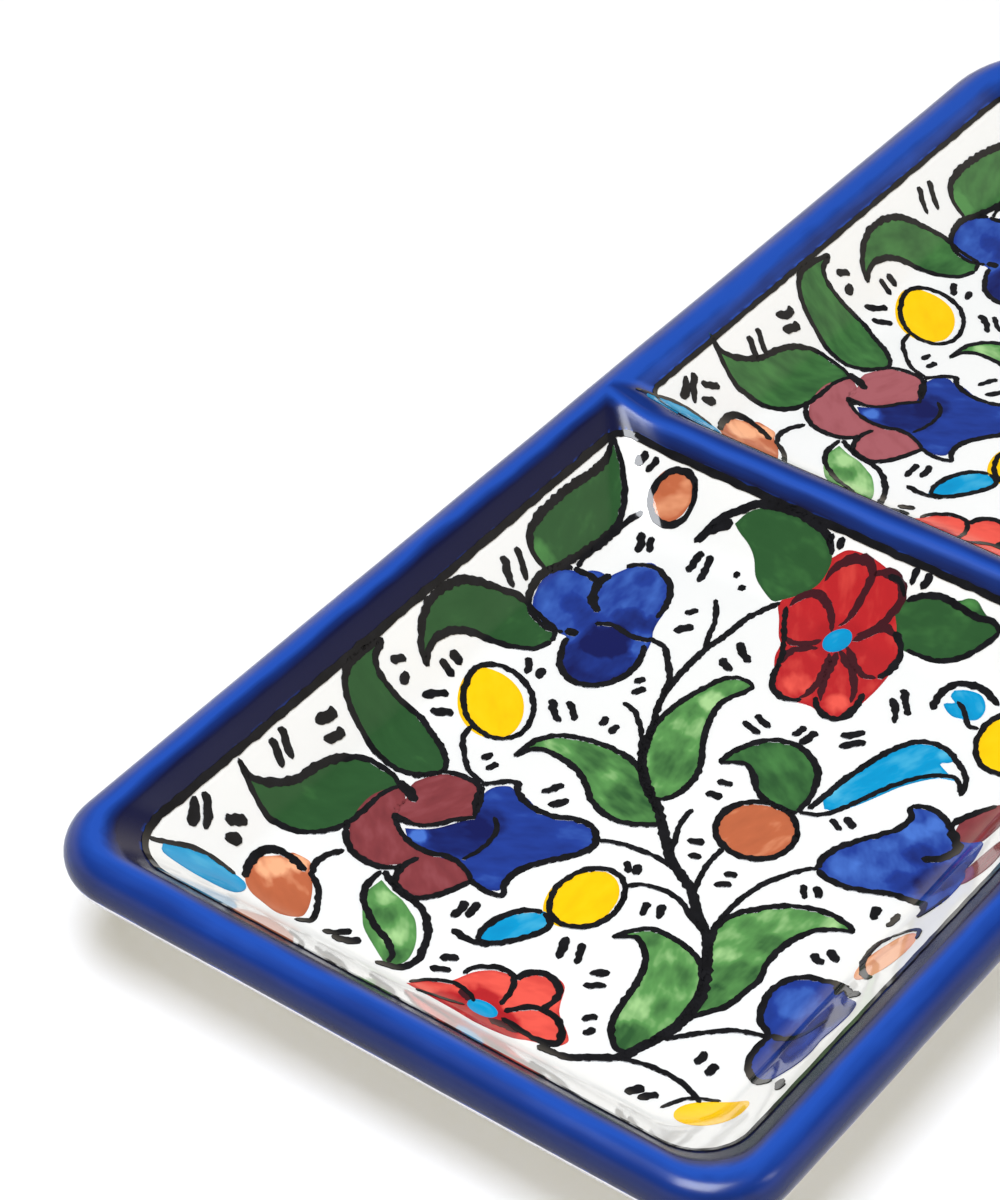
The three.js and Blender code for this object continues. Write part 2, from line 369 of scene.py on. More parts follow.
COBALT, NEAR_WHITE, FAR_WHITE, OUTSIDE_WHITE = range(4)
POOLING_AND_REFLECTION = {NEAR: 1, FAR: 0.4}  # how dark the cobalt gets towards each well's painted line, where it pools: the near well's adds a painted dark reflection, the far well's is kept lighter as a painted reflection of the bright room
DIVIDER_FADE = -0.3  # and how it darkens from the divider's crest to the far well's line
DIVIDER_SHEEN = 0.35  # how far down the divider's near side its pale band, a painted sheen, is moved
CREST_ROWS = 8
BAND_ROWS = 3
WALL_ROWS = 9
FILLET_ROWS = 10
FLOOR_ROWS = 16
BEAD_ROWS = 9
UNDER_ROWS = 6
OUTER_WALL_ROWS = 8
FOOT_ROWS = 2


def bead_level_at(z):
    """The outer level, on the lower half of the bead, at a height."""
    low, high = 1, 2
    for _ in range(40):
        middle = (low + high) / 2
        low, high = (middle, high) if outer_point(3.5, middle).z > z else (low, middle)
    return low


def depth_and_painted_light(side, place, share):
    """0 on the crest, where the cobalt is thin and a painted sheen lies, and 1 where it pools down the near
    well's wall, with a painted dark reflection.

    The far well's wall stays lighter, a painted reflection of the bright room. On the divider the painted
    sheen lies a little way down the near well's side, and the cobalt darkens towards the far well.
    """
    along = place - int(place)
    divider = smooth({2: along, 3: 1, 4: 1 - along}.get(int(place), 0))
    reach = mix(POOLING_AND_REFLECTION[side], DIVIDER_FADE, divider) if side == FAR else POOLING_AND_REFLECTION[side]
    return reach * share - DIVIDER_SHEEN * divider


def glazed_surface(wave):
    """The whole glazed surface as one sheet. Each face's material index says which coat it belongs to."""
    bm = bmesh.new()
    bm.verts.layers.float.new("across")
    bm.verts.layers.float.new("short")
    places = well_places()
    last = len(places) - 1
    whole_band = CREST_ROWS + BAND_ROWS
    for side, white in ((NEAR, NEAR_WHITE), (FAR, FAR_WHITE)):
        lines = [painted_level(side, place) for place in places]
        band = [i / CREST_ROWS for i in range(CREST_ROWS + 1)]

        def on_band(column, row):
            level = band[row] if row <= CREST_ROWS else mix(1, lines[column], (row - CREST_ROWS) / BAND_ROWS)
            return well_point(side, places[column], level)

        def on_band_brushed(column, row):
            return depth_and_painted_light(side, places[column], row / whole_band), short_share(places[column])

        def in_well(column, row):
            if row <= WALL_ROWS:
                level = mix(lines[column], 2, row / WALL_ROWS)
            elif row <= WALL_ROWS + FILLET_ROWS:
                level = 2 + (row - WALL_ROWS) / FILLET_ROWS
            else:
                level = 3 + (row - WALL_ROWS - FILLET_ROWS) / FLOOR_ROWS
            return well_point(side, places[column], level)

        lay_grid(bm, last, whole_band, COBALT, on_band, on_band_brushed)
        lay_grid(bm, last, WALL_ROWS + FILLET_ROWS + FLOOR_ROWS, white, in_well)

    # Where the divider's crest meets the rim's, the corners of the two wells leave a small three-sided gap
    for first in (2, 4):
        lay_grid(
            bm,
            JUNCTION_STEPS,
            1,
            COBALT,
            lambda column, row: well_point(NEAR if row == 0 else FAR, first + column / JUNCTION_STEPS, 0),
            lambda column, row: (depth_and_painted_light(NEAR, first + column / JUNCTION_STEPS, 0), 0.5),
        )

    around = outer_places()
    line = bead_level_at(HEIGHT - RIM_BAND_DROP)
    cobalt_levels = [i / BEAD_ROWS for i in range(BEAD_ROWS)] + [1, mix(1, line, 0.5), line]
    white_levels = [mix(line, 2, i / UNDER_ROWS) for i in range(UNDER_ROWS)]
    white_levels += [2 + i / OUTER_WALL_ROWS for i in range(OUTER_WALL_ROWS)]
    white_levels += [3 + i / FOOT_ROWS for i in range(FOOT_ROWS + 1)]
    # Down the outside, across runs from 0 on the crest to -1 at the white line, and the cobalt is painted
    # darker there as shade under the rim
    for levels, coat in ((cobalt_levels, COBALT), (white_levels, OUTSIDE_WHITE)):
        lay_grid(
            bm,
            len(around) - 1,
            len(levels) - 1,
            coat,
            lambda column, row: outer_point(around[column], levels[row]),
            lambda column, row: (-row / (len(cobalt_levels) - 1), short_share(around[column])),
        )

    bmesh.ops.remove_doubles(bm, verts=bm.verts, dist=0.002 * MM)
    bmesh.ops.recalc_face_normals(bm, faces=bm.faces)
    lining = [face for face in bm.faces if face.material_index == NEAR_WHITE]
    floor = min(lining, key=lambda face: face.calc_center_median().z)
    if floor.normal.z < 0:
        bmesh.ops.reverse_faces(bm, faces=bm.faces)

    # Hand-pressed clay is never quite even: the glaze dips by up to the wave, and never rises.
    # The dips are about 26 mm across, with shallower ones of 9 mm on them.
    bm.normal_update()
    moves = []
    for vertex in bm.verts:
        place = vertex.co / MM
        slow = noise.noise(place / 26)
        fine = noise.noise(place / 9 + Vector((7, 3, 5)))
        moves.append(vertex.normal * wave * (0.4 * slow + 0.12 * fine - 0.5))
    for vertex, move in zip(bm.verts, moves):
        vertex.co += move
    bm.normal_update()
    kept = bm.verts.layers.float_vector.new("glaze_normal")
    for vertex in bm.verts:
        vertex[kept] = vertex.normal
    return bm


class Glaze:
    """The glazed surface, made once and shared by every piece that lies on it."""

    sheet = None
    tree = None

    @classmethod
    def make(cls, wave):
        if cls.sheet is None:
            cls.sheet = glazed_surface(wave)
            cls.sheet.faces.ensure_lookup_table()
            cls.tree = BVHTree.FromBMesh(cls.sheet)
        return cls.sheet

    @classmethod
    def under(cls, x, y):
        """The point of the surface below a place in plan, in metres, and the surface's normal there."""
        hit, _, index, _ = cls.tree.ray_cast(Vector((x, y, 1)), Vector((0, 0, -1)))
        if hit is None:
            raise RuntimeError(f"no glaze below {x / MM:.1f}, {y / MM:.1f} mm")
        face = cls.sheet.faces[index]
        weights = poly_3d_calc([v.co for v in face.verts], hit)
        normal = Vector((0, 0, 0))
        for vertex, weight in zip(face.verts, weights):
            normal += vertex.normal * weight
        return hit, normal.normalized()


def add_piece(bm, name, material, normals=None):
    """Turns a mesh into a piece that rides on the dish.

    normals, one for each vertex, keep a glaze's shine unbroken.
    """
    mesh = bpy.data.meshes.new(name)
    bm.to_mesh(mesh)
    bm.free()
    mesh.materials.clear()
    mesh.materials.append(material)
    mesh.polygons.foreach_set("material_index", [0] * len(mesh.polygons))
    mesh.shade_smooth()
    if normals:
        mesh.normals_split_custom_set_from_vertices(normals)
    piece = bpy.data.objects.new(name, mesh)
    bpy.context.scene.collection.objects.link(piece)
    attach(piece, "root")
    return piece


def coat_piece(coat, name, material):
    """One coat of the glazed surface, with its real thickness."""
    cut = Glaze.sheet.copy()
    others = [face for face in cut.faces if face.material_index != coat]
    bmesh.ops.delete(cut, geom=others, context="FACES")
    bm = cut.copy()  # so that its vertices are numbered without gaps
    cut.free()
    top = len(bm.verts)
    kept = bm.verts.layers.float_vector["glaze_normal"]
    normals = [vertex[kept].copy() for vertex in bm.verts]
    bmesh.ops.solidify(bm, geom=bm.faces[:], thickness=GLAZE * MM)
    bm.verts.ensure_lookup_table()
    normals += [-vertex[kept] for vertex in bm.verts[top:]]
    bm.verts.layers.float_vector.remove(kept)
    return add_piece(bm, name, material, normals)


# Finishes


def add_node(tree, kind, settings=None, values=None, links=None):
    """Adds a node with its settings, the values of its sockets, and the outputs that feed them."""
    made = tree.nodes.new(kind)
    for name, value in (settings or {}).items():
        setattr(made, name, value)
    for socket, value in (values or {}).items():
        made.inputs[socket].default_value = value
    for socket, source in (links or {}).items():
        tree.links.new(source, made.inputs[socket])
    return made


def new_material(name, roughness, ior=1.5):
    """A named material, its node tree and its shader."""
    material = bpy.data.materials.new(name)
    material.use_nodes = True
    tree = material.node_tree
    shader = tree.nodes["Principled BSDF"]
    shader.inputs["Roughness"].default_value = roughness
    shader.inputs["IOR"].default_value = ior
    return material, tree, shader


def attribute(tree, name, output):
    """A value that the mesh's vertices carry."""
    return add_node(tree, "ShaderNodeAttribute", settings={"attribute_name": name}).outputs[output]


def place_noise(tree, millimetres, detail=2, roughness=0.5, coordinates=None):
    """Noise whose blotches are about so many millimetres across."""
    if coordinates is None:
        coordinates = add_node(tree, "ShaderNodeTexCoord").outputs["Object"]
    return add_node(
        tree,
        "ShaderNodeTexNoise",
        values={"Scale": 1 / (millimetres * MM), "Detail": detail, "Roughness": roughness},
        links={"Vector": coordinates},
    ).outputs["Fac"]


def glaze_ripple(tree, shader, strength=1):
    """Fired glaze lies in slow ripples about 12 mm apart, with a finer orange peel of about 2 mm on them."""
    slow = add_node(
        tree,
        "ShaderNodeBump",
        values={"Strength": 0.35 * strength, "Distance": 0.25 * MM},
        links={"Height": place_noise(tree, 12, detail=1)},
    )
    peel = add_node(
        tree,
        "ShaderNodeBump",
        values={"Strength": 0.12 * strength, "Distance": 0.05 * MM},
        links={"Height": place_noise(tree, 2.2, detail=1), "Normal": slow.outputs["Normal"]},
    )
    tree.links.new(peel.outputs["Normal"], shader.inputs["Normal"])


def ramp(tree, source, stops):
    """A colour ramp over a value, from stops of place and colour."""
    made = add_node(tree, "ShaderNodeValToRGB", links={"Fac": source})
    elements = made.color_ramp.elements
    while len(elements) < len(stops):
        elements.new(0.5)
    for element, (place, colour) in zip(elements, stops):
        element.position = place
        element.color = (*colour, 1)
    return made.outputs["Color"]


def scaled(tree, source, factor, offset=0):
    """A value times a factor, plus an offset."""
    return add_node(
        tree,
        "ShaderNodeMath",
        settings={"operation": "MULTIPLY_ADD"},
        values={1: factor, 2: offset},
        links={0: source},
    ).outputs[0]


def added(tree, one, other):
    """One value plus another."""
    return add_node(
        tree,
        "ShaderNodeMath",
        settings={"operation": "ADD"},
        links={0: one, 1: other},
    ).outputs[0]


def blended(tree, share, one, other):
    """Between two values, by a share from 0 to 1."""
    made = add_node(tree, "ShaderNodeMix", settings={"data_type": "FLOAT"}, links={"Factor": share})
    tree.links.new(one, made.inputs["A"])
    tree.links.new(other, made.inputs["B"])
    return made.outputs["Result"]


def tinted(colour, factor):
    """A colour made darker or lighter by a factor."""
    return tuple(min(c * factor, 1) for c in colour)


def white_glaze(colours):
    """Tin-opacified earthenware glaze, fired glassy: a little warm, with faint cloudy patches."""
    material, tree, shader = new_material("Tin-white glaze", roughness=0.07)
    cloud = place_noise(tree, 30, detail=3)
    colour = ramp(tree, cloud, [(0.3, tinted(colours.white, 0.965)), (0.7, colours.white)])
    tree.links.new(colour, shader.inputs["Base Color"])
    glaze_ripple(tree, shader)
    return material


def cobalt_glaze(colours):
    """Cobalt glaze brushed round the rim and fired: satin, faintly streaked along the brush's way.

    It is bright over the crest, where the glaze is thin and a painted sheen lies on it, and nearly black
    where it pools down into the wells, with a painted dark reflection on it, and under the rim, as painted
    shade.
    """
    material, tree, shader = new_material("Brushed cobalt glaze", roughness=0.24, ior=1.45)
    coordinates = add_node(tree, "ShaderNodeTexCoord").outputs["Object"]
    across = attribute(tree, "across", "Fac")
    short = attribute(tree, "short", "Fac")
    # The brush leaves streaks about 1.6 mm wide and fourteen times as long, which run round with the rim
    streaks = []
    for stretch in ((1, 0.07, 1), (0.07, 1, 1)):
        along = add_node(tree, "ShaderNodeMapping", values={"Scale": stretch}, links={"Vector": coordinates})
        streaks.append(place_noise(tree, 1.6, detail=3, roughness=0.6, coordinates=along.outputs["Vector"]))
    streak = blended(tree, short, *streaks)
    blotch = place_noise(tree, 14, detail=2, coordinates=coordinates)
    uneven = added(tree, scaled(tree, streak, 0.5), scaled(tree, blotch, 0.7, -0.6))
    level = added(tree, scaled(tree, across, 0.5, 0.5), scaled(tree, uneven, 0.26))
    deep, middle, pale = colours.cobalt_pooled_and_shade, colours.cobalt, colours.cobalt_thin_and_sheen
    # From the outer edge, painted dark as shade under the rim, over the crest at 0.5, pale with thin glaze
    # and a painted sheen, to the wells, dark where it pools
    stops = [
        (0.04, tinted(deep, 1.1)),
        (0.22, tinted(middle, 0.36)),
        (0.36, tinted(middle, 0.7)),
        (0.5, pale),
        (0.58, pale),
        (0.69, tinted(middle, 0.5)),
        (0.82, deep),
    ]
    tree.links.new(ramp(tree, level, stops), shader.inputs["Base Color"])
    glaze_ripple(tree, shader, strength=0.4)
    return material


def wash(name, deep, middle, pale, contrast):
    """Underglaze wash laid with a loaded brush, under glassy glaze.

    It is nearly even, with the brush's own streaks, and darker where it pools along an edge
    or where the brush went twice.
    """
    material, tree, shader = new_material(name, roughness=0.07)
    brush = attribute(tree, "brush", "Vector")
    depth = attribute(tree, "depth", "Fac")
    tone = attribute(tree, "tone", "Fac")
    # The brush's place is kept in millimetres, and its streaks are about 2 mm wide
    streaks = place_noise(tree, 2 / MM, detail=2, roughness=0.5, coordinates=brush)
    # Within half a millimetre of its edge the wash is darker
    edge = add_node(
        tree,
        "ShaderNodeMapRange",
        values={"From Min": 0, "From Max": 0.5, "To Min": -0.14, "To Max": 0},
        links={"Value": depth},
    ).outputs["Result"]
    uneven = added(tree, scaled(tree, streaks, contrast, 0.5 - contrast / 2), edge)
    level = added(tree, uneven, scaled(tree, tone, -0.75))
    tree.links.new(ramp(tree, level, [(0, deep), (0.5, middle), (0.85, pale)]), shader.inputs["Base Color"])
    glaze_ripple(tree, shader)
    return material


def paint_finishes(colours):
    """The material of each colour of paint, paired with a slot's name."""
    orange_deep = tinted(colours.orange, 0.75)
    blue_green = linear("#0078AE")
    # For each colour: the name of its finish, the slot, its three depths, and how uneven it is
    washes = {
        "yellow": ("Antimony-yellow", "yellow_colour", linear("#F0B400"), colours.yellow, "#FFD414", 0.7),
        "orange": ("Iron-orange", "orange_colour", orange_deep, colours.orange, "#F6B084", 0.7),
        "light_green": ("Thin copper-green", "leaf_green", colours.green, colours.green_pale, "#A5D08C", 1),
        "green": ("Copper-green", "leaf_green", colours.green_deep, colours.green, "#4E8A48", 0.5),
        "turquoise": ("Copper-turquoise", "turquoise_colour", blue_green, colours.turquoise, "#58BCDC", 0.7),
        "red": ("Red", "red_colour", linear("#A01820"), colours.red, "#EC5A4C", 0.5),
        "maroon": ("Manganese-maroon", "maroon_colour", linear("#40161E"), colours.maroon, "#A65C62", 0.5),
        "blue": ("Cobalt", "cobalt_glaze", colours.petal_blue_deep, colours.petal_blue, "#4672C8", 0.55),
    }
    finishes = {}
    for colour, (name, slot, deep, middle, pale, contrast) in washes.items():
        finishes[colour] = (wash(f"{name} wash", deep, middle, linear(pale), contrast), slot)
    finishes["black"] = (black_line(colours), "black_line")
    return finishes


def black_line(colours):
    """Manganese-black line from a pointed brush: dense, a little browner where the brush ran dry."""
    material, tree, shader = new_material("Manganese-black line", roughness=0.08)
    colour = ramp(
        tree,
        place_noise(tree, 2.5, detail=3),
        [(0.3, colours.black), (0.75, tinted(colours.black, 2.6))],
    )
    tree.links.new(colour, shader.inputs["Base Color"])
    glaze_ripple(tree, shader)
    return material


def biscuit(colours):
    """Buff earthenware, fired once and wiped clean: matt, with fine grog."""
    material, tree, shader = new_material("Buff earthenware biscuit", roughness=0.85)
    grain = place_noise(tree, 0.6, detail=4)
    colour = ramp(tree, grain, [(0.3, tinted(colours.clay, 0.8)), (0.7, colours.clay)])
    tree.links.new(colour, shader.inputs["Base Color"])
    bump = add_node(
        tree, "ShaderNodeBump", values={"Strength": 0.5, "Distance": 0.1 * MM}, links={"Height": grain}
    )
    tree.links.new(bump.outputs["Normal"], shader.inputs["Normal"])
    return material


# The painting. Places are in millimetres in plan, in the near well.


def pairs(*numbers):
    """Points from their coordinates, one after the other."""
    return [Vector(numbers[i : i + 2]) for i in range(0, len(numbers), 2)]


def curve(points, step=0.45):
    """Evenly spaced points on a smooth curve through the given ones."""
    points = [Vector(p) for p in points]
    padded = [points[0] * 2 - points[1], *points, points[-1] * 2 - points[-2]]
    made = []
    for p0, p1, p2, p3 in zip(padded, padded[1:], padded[2:], padded[3:]):
        count = max(1, round((p2 - p1).length / step))
        for i in range(count):
            t = i / count
            made.append(
                0.5
                * (
                    2 * p1
                    + (p2 - p0) * t
                    + (2 * p0 - 5 * p1 + 4 * p2 - p3) * t**2
                    + (3 * p1 - p0 - 3 * p2 + p3) * t**3
                )
            )
    return made + [points[-1]]


def oval(x, y, rx, ry, tilt=0, wobble=0.04, seed=0):
    """A hand-drawn closed oval, as points that end where they start."""
    cosine, sine = math.cos(math.radians(tilt)), math.sin(math.radians(tilt))
    made = []
    for i in range(15):
        angle = 2 * math.pi * i / 14
        reach = 1 + wobble * noise.noise(Vector((math.cos(angle), math.sin(angle), seed * 3.7)))
        u, v = rx * reach * math.cos(angle), ry * reach * math.sin(angle)
        made.append(Vector((x + u * cosine - v * sine, y + u * sine + v * cosine)))
    return made


def leaf(colour, first, second, **more):
    """An outlined shape with two sides that meet in points.

    first runs from the tip to the base, and second runs back.
    """
    sides = [first, [first[-1], *second, first[0]]]
    return {"colour": colour, "sides": sides, "outlines": sides, **more}


def blob(colour, *numbers, **more):
    """A closed wash without a point, whose lines are drawn apart from it."""
    points = pairs(*numbers)
    return {"colour": colour, "sides": [[*points, points[0]]], **more}


def fruit(colour, x, y, rx, ry, tilt=0, outline=(0, 0), reach=1, **more):
    """An oval wash. Its outline may lie a little off it and reach a little wider, or be left out."""
    made = {"colour": colour, "sides": [oval(x, y, rx, ry, tilt, seed=x)], **more}
    if outline:
        line = oval(x + outline[0], y + outline[1], rx * reach, ry * reach, tilt, seed=x)
        made["outlines"] = [line + line[1:3]]
    return made


# Each leaf is drawn with two sides that meet in points, and each wash of a flower lies under its own lines
SHAPES = [
    leaf(
        "green",
        pairs(
            -45.6, -61.8, -44.3, -65.2, -41, -65.8, -37, -64.9, -33, -66.5, -30, -68.4, -28.2, -70.6,
            -28.6, -72.6,
        ),
        pairs(-32.8, -74.5, -40, -73.8, -43.9, -72.2, -45.7, -69.5, -45.9, -66),
        tone=0.1,
    ),
    leaf(
        "green",
        pairs(
            -45.8, -92.8, -43.9, -93, -42.2, -91.3, -40.8, -88, -40.4, -84.7, -40, -81.3, -38.3, -77.2,
            -36.1, -75.8, -33.3, -75.8, -31, -77,
        ),
        pairs(-32, -80, -32, -84, -32.2, -87, -33.3, -89.5, -35, -91.4, -38, -93.6, -40.8, -94.4),
        tone=0.1,
    ),
    # the maroon flower and the blue bell that grows from it
    blob(
        "maroon",
        -29.9, -75, -28.9, -73, -27.2, -71.2, -25, -70.4, -22.8, -70.8, -21, -72.2, -19.6, -75.2,
        -20.5, -77, -21.8, -79, -23.3, -80.8, -25.5, -82.2, -27.8, -82.2, -29.2, -80.4, -28.8, -78.5,
        -29.2, -77.5, -29.8, -76.3,
    ),
    blob(
        "maroon",
        -32.2, -79.2, -31.2, -77.6, -29.6, -78, -28.1, -79.7, -27.8, -81.8, -27.5, -83, -25.5, -84,
        -23, -85.3, -20.5, -85.6, -18.8, -84.4, -17, -84.3, -15.5, -84.8, -14, -85.3, -12.6, -86.2,
        -13, -88, -14, -90.2, -15.6, -92.4, -17.8, -93, -19.8, -92.4, -20.8, -90.2, -21.6, -89.4,
        -23.5, -90.9, -26, -91.2, -28.6, -90.4, -30.6, -88.7, -32, -86.2, -32.7, -83.5, -32.8, -81,
    ),
    blob(
        "blue",
        -25.6, -83, -23.5, -81.7, -22, -80.2, -20.8, -78.2, -19.6, -76.2, -20.5, -74, -21.2, -71.5,
        -20.8, -69.4, -19.2, -68.1, -17.8, -68.6, -16, -68.6, -13.5, -69.5, -11, -69.6, -8.5, -68.5,
        -6.5, -68.1, -4.5, -68.8, -3.4, -70.5, -4, -73.5, -5.5, -75.8, -7.3, -78.3, -8.3, -80.5,
        -8.6, -83, -8.5, -85, -10, -86, -12, -85.9, -13.8, -85, -16, -84.2, -18.5, -84.7, -21.5, -85,
        -24, -84.3,
        tone=0.1,
        daubs=[
            (-18.8, -80, 4.4, 0.45), (-17.3, -75.6, 2.6, 0.4), (-23, -83.2, 1.3, -0.8),
            (-6.3, -71.2, 2.5, -0.12), (-10.6, -84.3, 1.5, -0.15), (-19.9, -71.5, 1.2, -0.1),
        ],
    ),
    blob(
        "light_green",
        -21.7, -92.7, -19.4, -93.6, -17.2, -94.1, -15, -95.2, -13.3, -96.3, -11.1, -99.1, -10, -101.9,
        -10.3, -103.6, -11.7, -104.7, -12.8, -104.2, -14.4, -103.3, -17.8, -101.3, -19.4, -99.7,
        -20.9, -97.7, -21.9, -95.8,
        shift=(-0.3, -0.2),
        daubs=[
            (-17.6, -98.2, 1.8, 0.3), (-13.4, -100.6, 1.6, -0.3), (-19.5, -95.4, 1.4, -0.35),
            (-12, -103, 1.5, 0.4),
        ],
    ),
    blob(
        "orange",
        -36.4, -99.7, -35.6, -98.6, -34.4, -97, -33.9, -96.1, -31.1, -96.1, -30, -97.6, -28.3, -99.1,
        -26.7, -101.3, -25.6, -103.6, -25.6, -105.2, -27.8, -106.6, -30.6, -106.3, -33.3, -105.8,
        -35.3, -104.4, -36.2, -102.4,
        shift=(-0.4, 0.5),
        daubs=[(-35, -99.5, 2.2, -0.5), (-32.5, -96.5, 1.5, -0.6), (-29, -104, 3.5, 0.15)],
    ),
    blob(
        "turquoise",
        -43.8, -110.6, -42.6, -108.2, -40.4, -106.1, -37.8, -105, -35.4, -104.7, -34.3, -106, -34.8, -108.2,
        -37.4, -110, -40.2, -111.2, -42.8, -111.8,
    ),
    fruit("yellow", 1.6, -79.3, 4.4, 6, shift=(-0.3, -0.9), outline=(0.3, -0.2)),
    leaf(
        "turquoise",
        pairs(-5, -94.4, -5.6, -92.4, -5, -89, -3.3, -86.3, -1.1, -85.2),
        pairs(0.8, -86.3, 0.8, -88, -0.6, -90.8, -2.8, -93.5),
    ),
    # the red flower at the foot, washed lighter as a painted highlight
    blob(
        "red",
        -6.9, -106.3, -5.6, -104.1, -3.3, -102.4, -1.7, -99.1, 0, -97.4, 1.3, -96.9, 3.6, -96.3,
        4.7, -94.7, 6.9, -93.6, 9.1, -94.1, 10.5, -96.9, 11.6, -98.6, 14.1, -100.5, 15.2, -101.9,
        14.1, -103.6, 11.3, -104.7, 9.1, -106, 4.7, -106.8, 0.2, -106.5,
        tone=-0.4,
        daubs=[(2, -103.6, 3, 0.5), (6, -106, 3.5, 0.7), (-1, -106, 2.5, 0.5)],
    ),
    fruit("turquoise", 3.1, -104.1, 2.3, 1.3, outline=None),
    leaf(
        "light_green",
        pairs(
            33.4, -64.2, 31, -63.4, 28, -63.4, 24.7, -64.7, 21.9, -66.9, 20.2, -69.1, 18.8, -71.3,
            18.5, -74.5, 19.4, -77, 20.8, -80.2, 22.4, -82.4, 24.1, -86.9, 24.7, -89.5,
        ),
        pairs(
            25.5, -88.4, 27.4, -85.2, 28, -81.3, 28.2, -78.6, 27.4, -75.8, 27.2, -73, 27.7, -70.2,
            28.8, -67.4, 30.8, -65.5,
        ),
        daubs=[
            (26.4, -72.5, 2.1, 0.45), (25.6, -80.2, 3.2, 0.35), (24.8, -85, 2.4, 0.35),
            (21.5, -71.5, 1.7, 0.2), (22.4, -78, 1.5, -0.25), (30.2, -64.8, 1.6, -0.2),
        ],
    ),
    leaf(
        "light_green",
        pairs(
            8.6, -83.6, 10, -81.3, 11.9, -79.4, 14.1, -79.1, 16.9, -79.3, 19.7, -80.2, 21.9, -82.4,
            23.3, -85.2, 23.8, -87.4, 24.1, -91.3, 23.6, -94.7, 22.4, -99.1,
        ),
        pairs(
            20.5, -99.4, 18.8, -98, 17.4, -95.8, 16.6, -92.4, 16.1, -89.1, 15.2, -85.8, 13.6, -83.3,
            11.3, -81.9,
        ),
        daubs=[
            (20.8, -96.9, 2.7, 0.55), (19, -84.4, 2.3, 0.3), (21.4, -90.5, 1.9, 0.2), (12.5, -81, 1.6, 0.25),
            (18.6, -92.8, 2, -0.3), (22.2, -86.6, 1.4, -0.25),
        ],
    ),
    fruit("yellow", 36.9, -102.4, 4.7, 3, 22, outline=None),
    blob(
        "blue",
        31.5, -76.5, 33.3, -74.6, 35.8, -74, 38, -74.5, 39.8, -76.2, 41.1, -78, 42.4, -79.1, 43.8, -80.5,
        44.4, -83, 44.1, -85.8, 43.6, -88, 43.8, -90.8, 43.3, -93, 42.2, -94.6, 40.6, -95.9, 38.8, -95.2,
        36.8, -93.8, 35.2, -91.4, 34.8, -89.1, 34.9, -86.9, 34.6, -85.6, 32.4, -84.5, 31.2, -82.2,
        30.8, -79,
        tone=0.1,
        daubs=[
            (41.2, -82.6, 2.9, 0.5), (38.2, -87, 2.2, 0.5), (34.7, -79.4, 3.2, -0.3), (39.6, -91, 2.2, 0.2),
        ],
    ),
    fruit("orange", 41, -68.8, 3, 4.9, -8, outline=None, tone=-0.5),
    leaf(
        "green",
        pairs(
            -46, -6.5, -43.3, -8.3, -41, -10.6, -39.4, -13.3, -38.6, -16.1, -38.6, -20, -38.9, -24,
            -39.4, -28, -40, -31.3,
        ),
        pairs(-42.2, -31.4, -43.9, -30, -44.7, -27.2, -45, -23.3, -45, -19, -44.8, -15, -44.7, -10.6),
        tone=0.05,
        daubs=[(-41.5, -30, 1.6, -0.4)],
    ),
    fruit("orange", -34, -8.2, 3.3, 3.1, tone=-0.1, shift=(-0.3, 0.2)),
    blob(
        "green",
        -23.4, -7.8, -22.2, -6.1, -20, -5, -16.7, -4.6, -12.2, -4.7, -9, -5.8, -7.3, -7.2, -7.5, -9.7,
        -9.4, -11.9, -11.1, -13.6, -12.2, -14.5, -14.4, -13.6, -16.7, -12.2, -18.3, -10.3, -20, -9.2,
        -22.2, -8.4,
    ),
    # the blue flower of three lobes
    blob(
        "blue",
        -38.9, -35.8, -39.6, -33, -39.5, -30, -38.6, -27.8, -37.2, -26, -36.6, -24.8, -35.5, -24,
        -34.2, -24, -33.8, -22.8, -33, -20.6, -32, -18.8, -31, -17.8, -29.8, -18, -28, -18.9, -26, -20.5,
        -24.3, -22.9, -23.3, -25.6, -22.8, -28, -22.2, -30, -21.4, -31.4, -20.9, -32.6, -20.2, -35,
        -19.7, -38, -19.6, -41, -21, -43.7, -23, -45.3, -25.5, -45.5, -27.8, -44.3, -29.6, -41.8,
        -30.8, -39, -31.5, -38.2, -33.5, -38.4, -36.5, -38.2, -38, -37.2,
        tone=-0.12,
        daubs=[
            (-26.2, -35.8, 3.6, 0.8), (-24.5, -41, 5.6, 0.65), (-24.1, -39.6, 3.6, -0.2),
            (-26.3, -30.4, 2.4, 0.5), (-34.3, -32.3, 1.9, 0.3), (-31, -33.6, 2, 0.3), (-23, -29.5, 1.6, 0.5),
            (-29.5, -21.5, 1.6, 0.2),
        ],
    ),
    leaf(
        "green",
        pairs(
            -40.6, -58.6, -42.2, -57.5, -43.6, -55.8, -45, -53, -45.6, -50, -45.3, -46, -43.9, -42.8,
            -41.7, -40, -39.4, -37.8, -36.1, -37.6, -33.3, -38.3, -32.2, -40.6,
        ),
        pairs(-33.3, -43.3, -36.7, -45.6, -39.4, -47.8, -41.1, -50, -42, -52.8, -41.9, -56),
        tone=0.1,
    ),
    fruit("yellow", -31.2, -56.2, 7.1, 4.6, -47, outline=(0.6, 0.8), reach=1.06),
    leaf(
        "light_green",
        pairs(
            -4.2, -31.4, -6.7, -31.4, -8.3, -32.8, -9.4, -36.1, -10.3, -40, -10.6, -44.4, -10, -48.3,
            -8.9, -51.7, -7.2, -54.4, -5, -57.2, -2.2, -58.9,
        ),
        pairs(
            -0.8, -57.8, 0, -55.6, 0, -52.2, -1.1, -48.9, -2.8, -46.1, -4.4, -42.8, -5.6, -38.9,
            -5.6, -36.1, -4.4, -33.3,
        ),
        tone=0.15,
        daubs=[
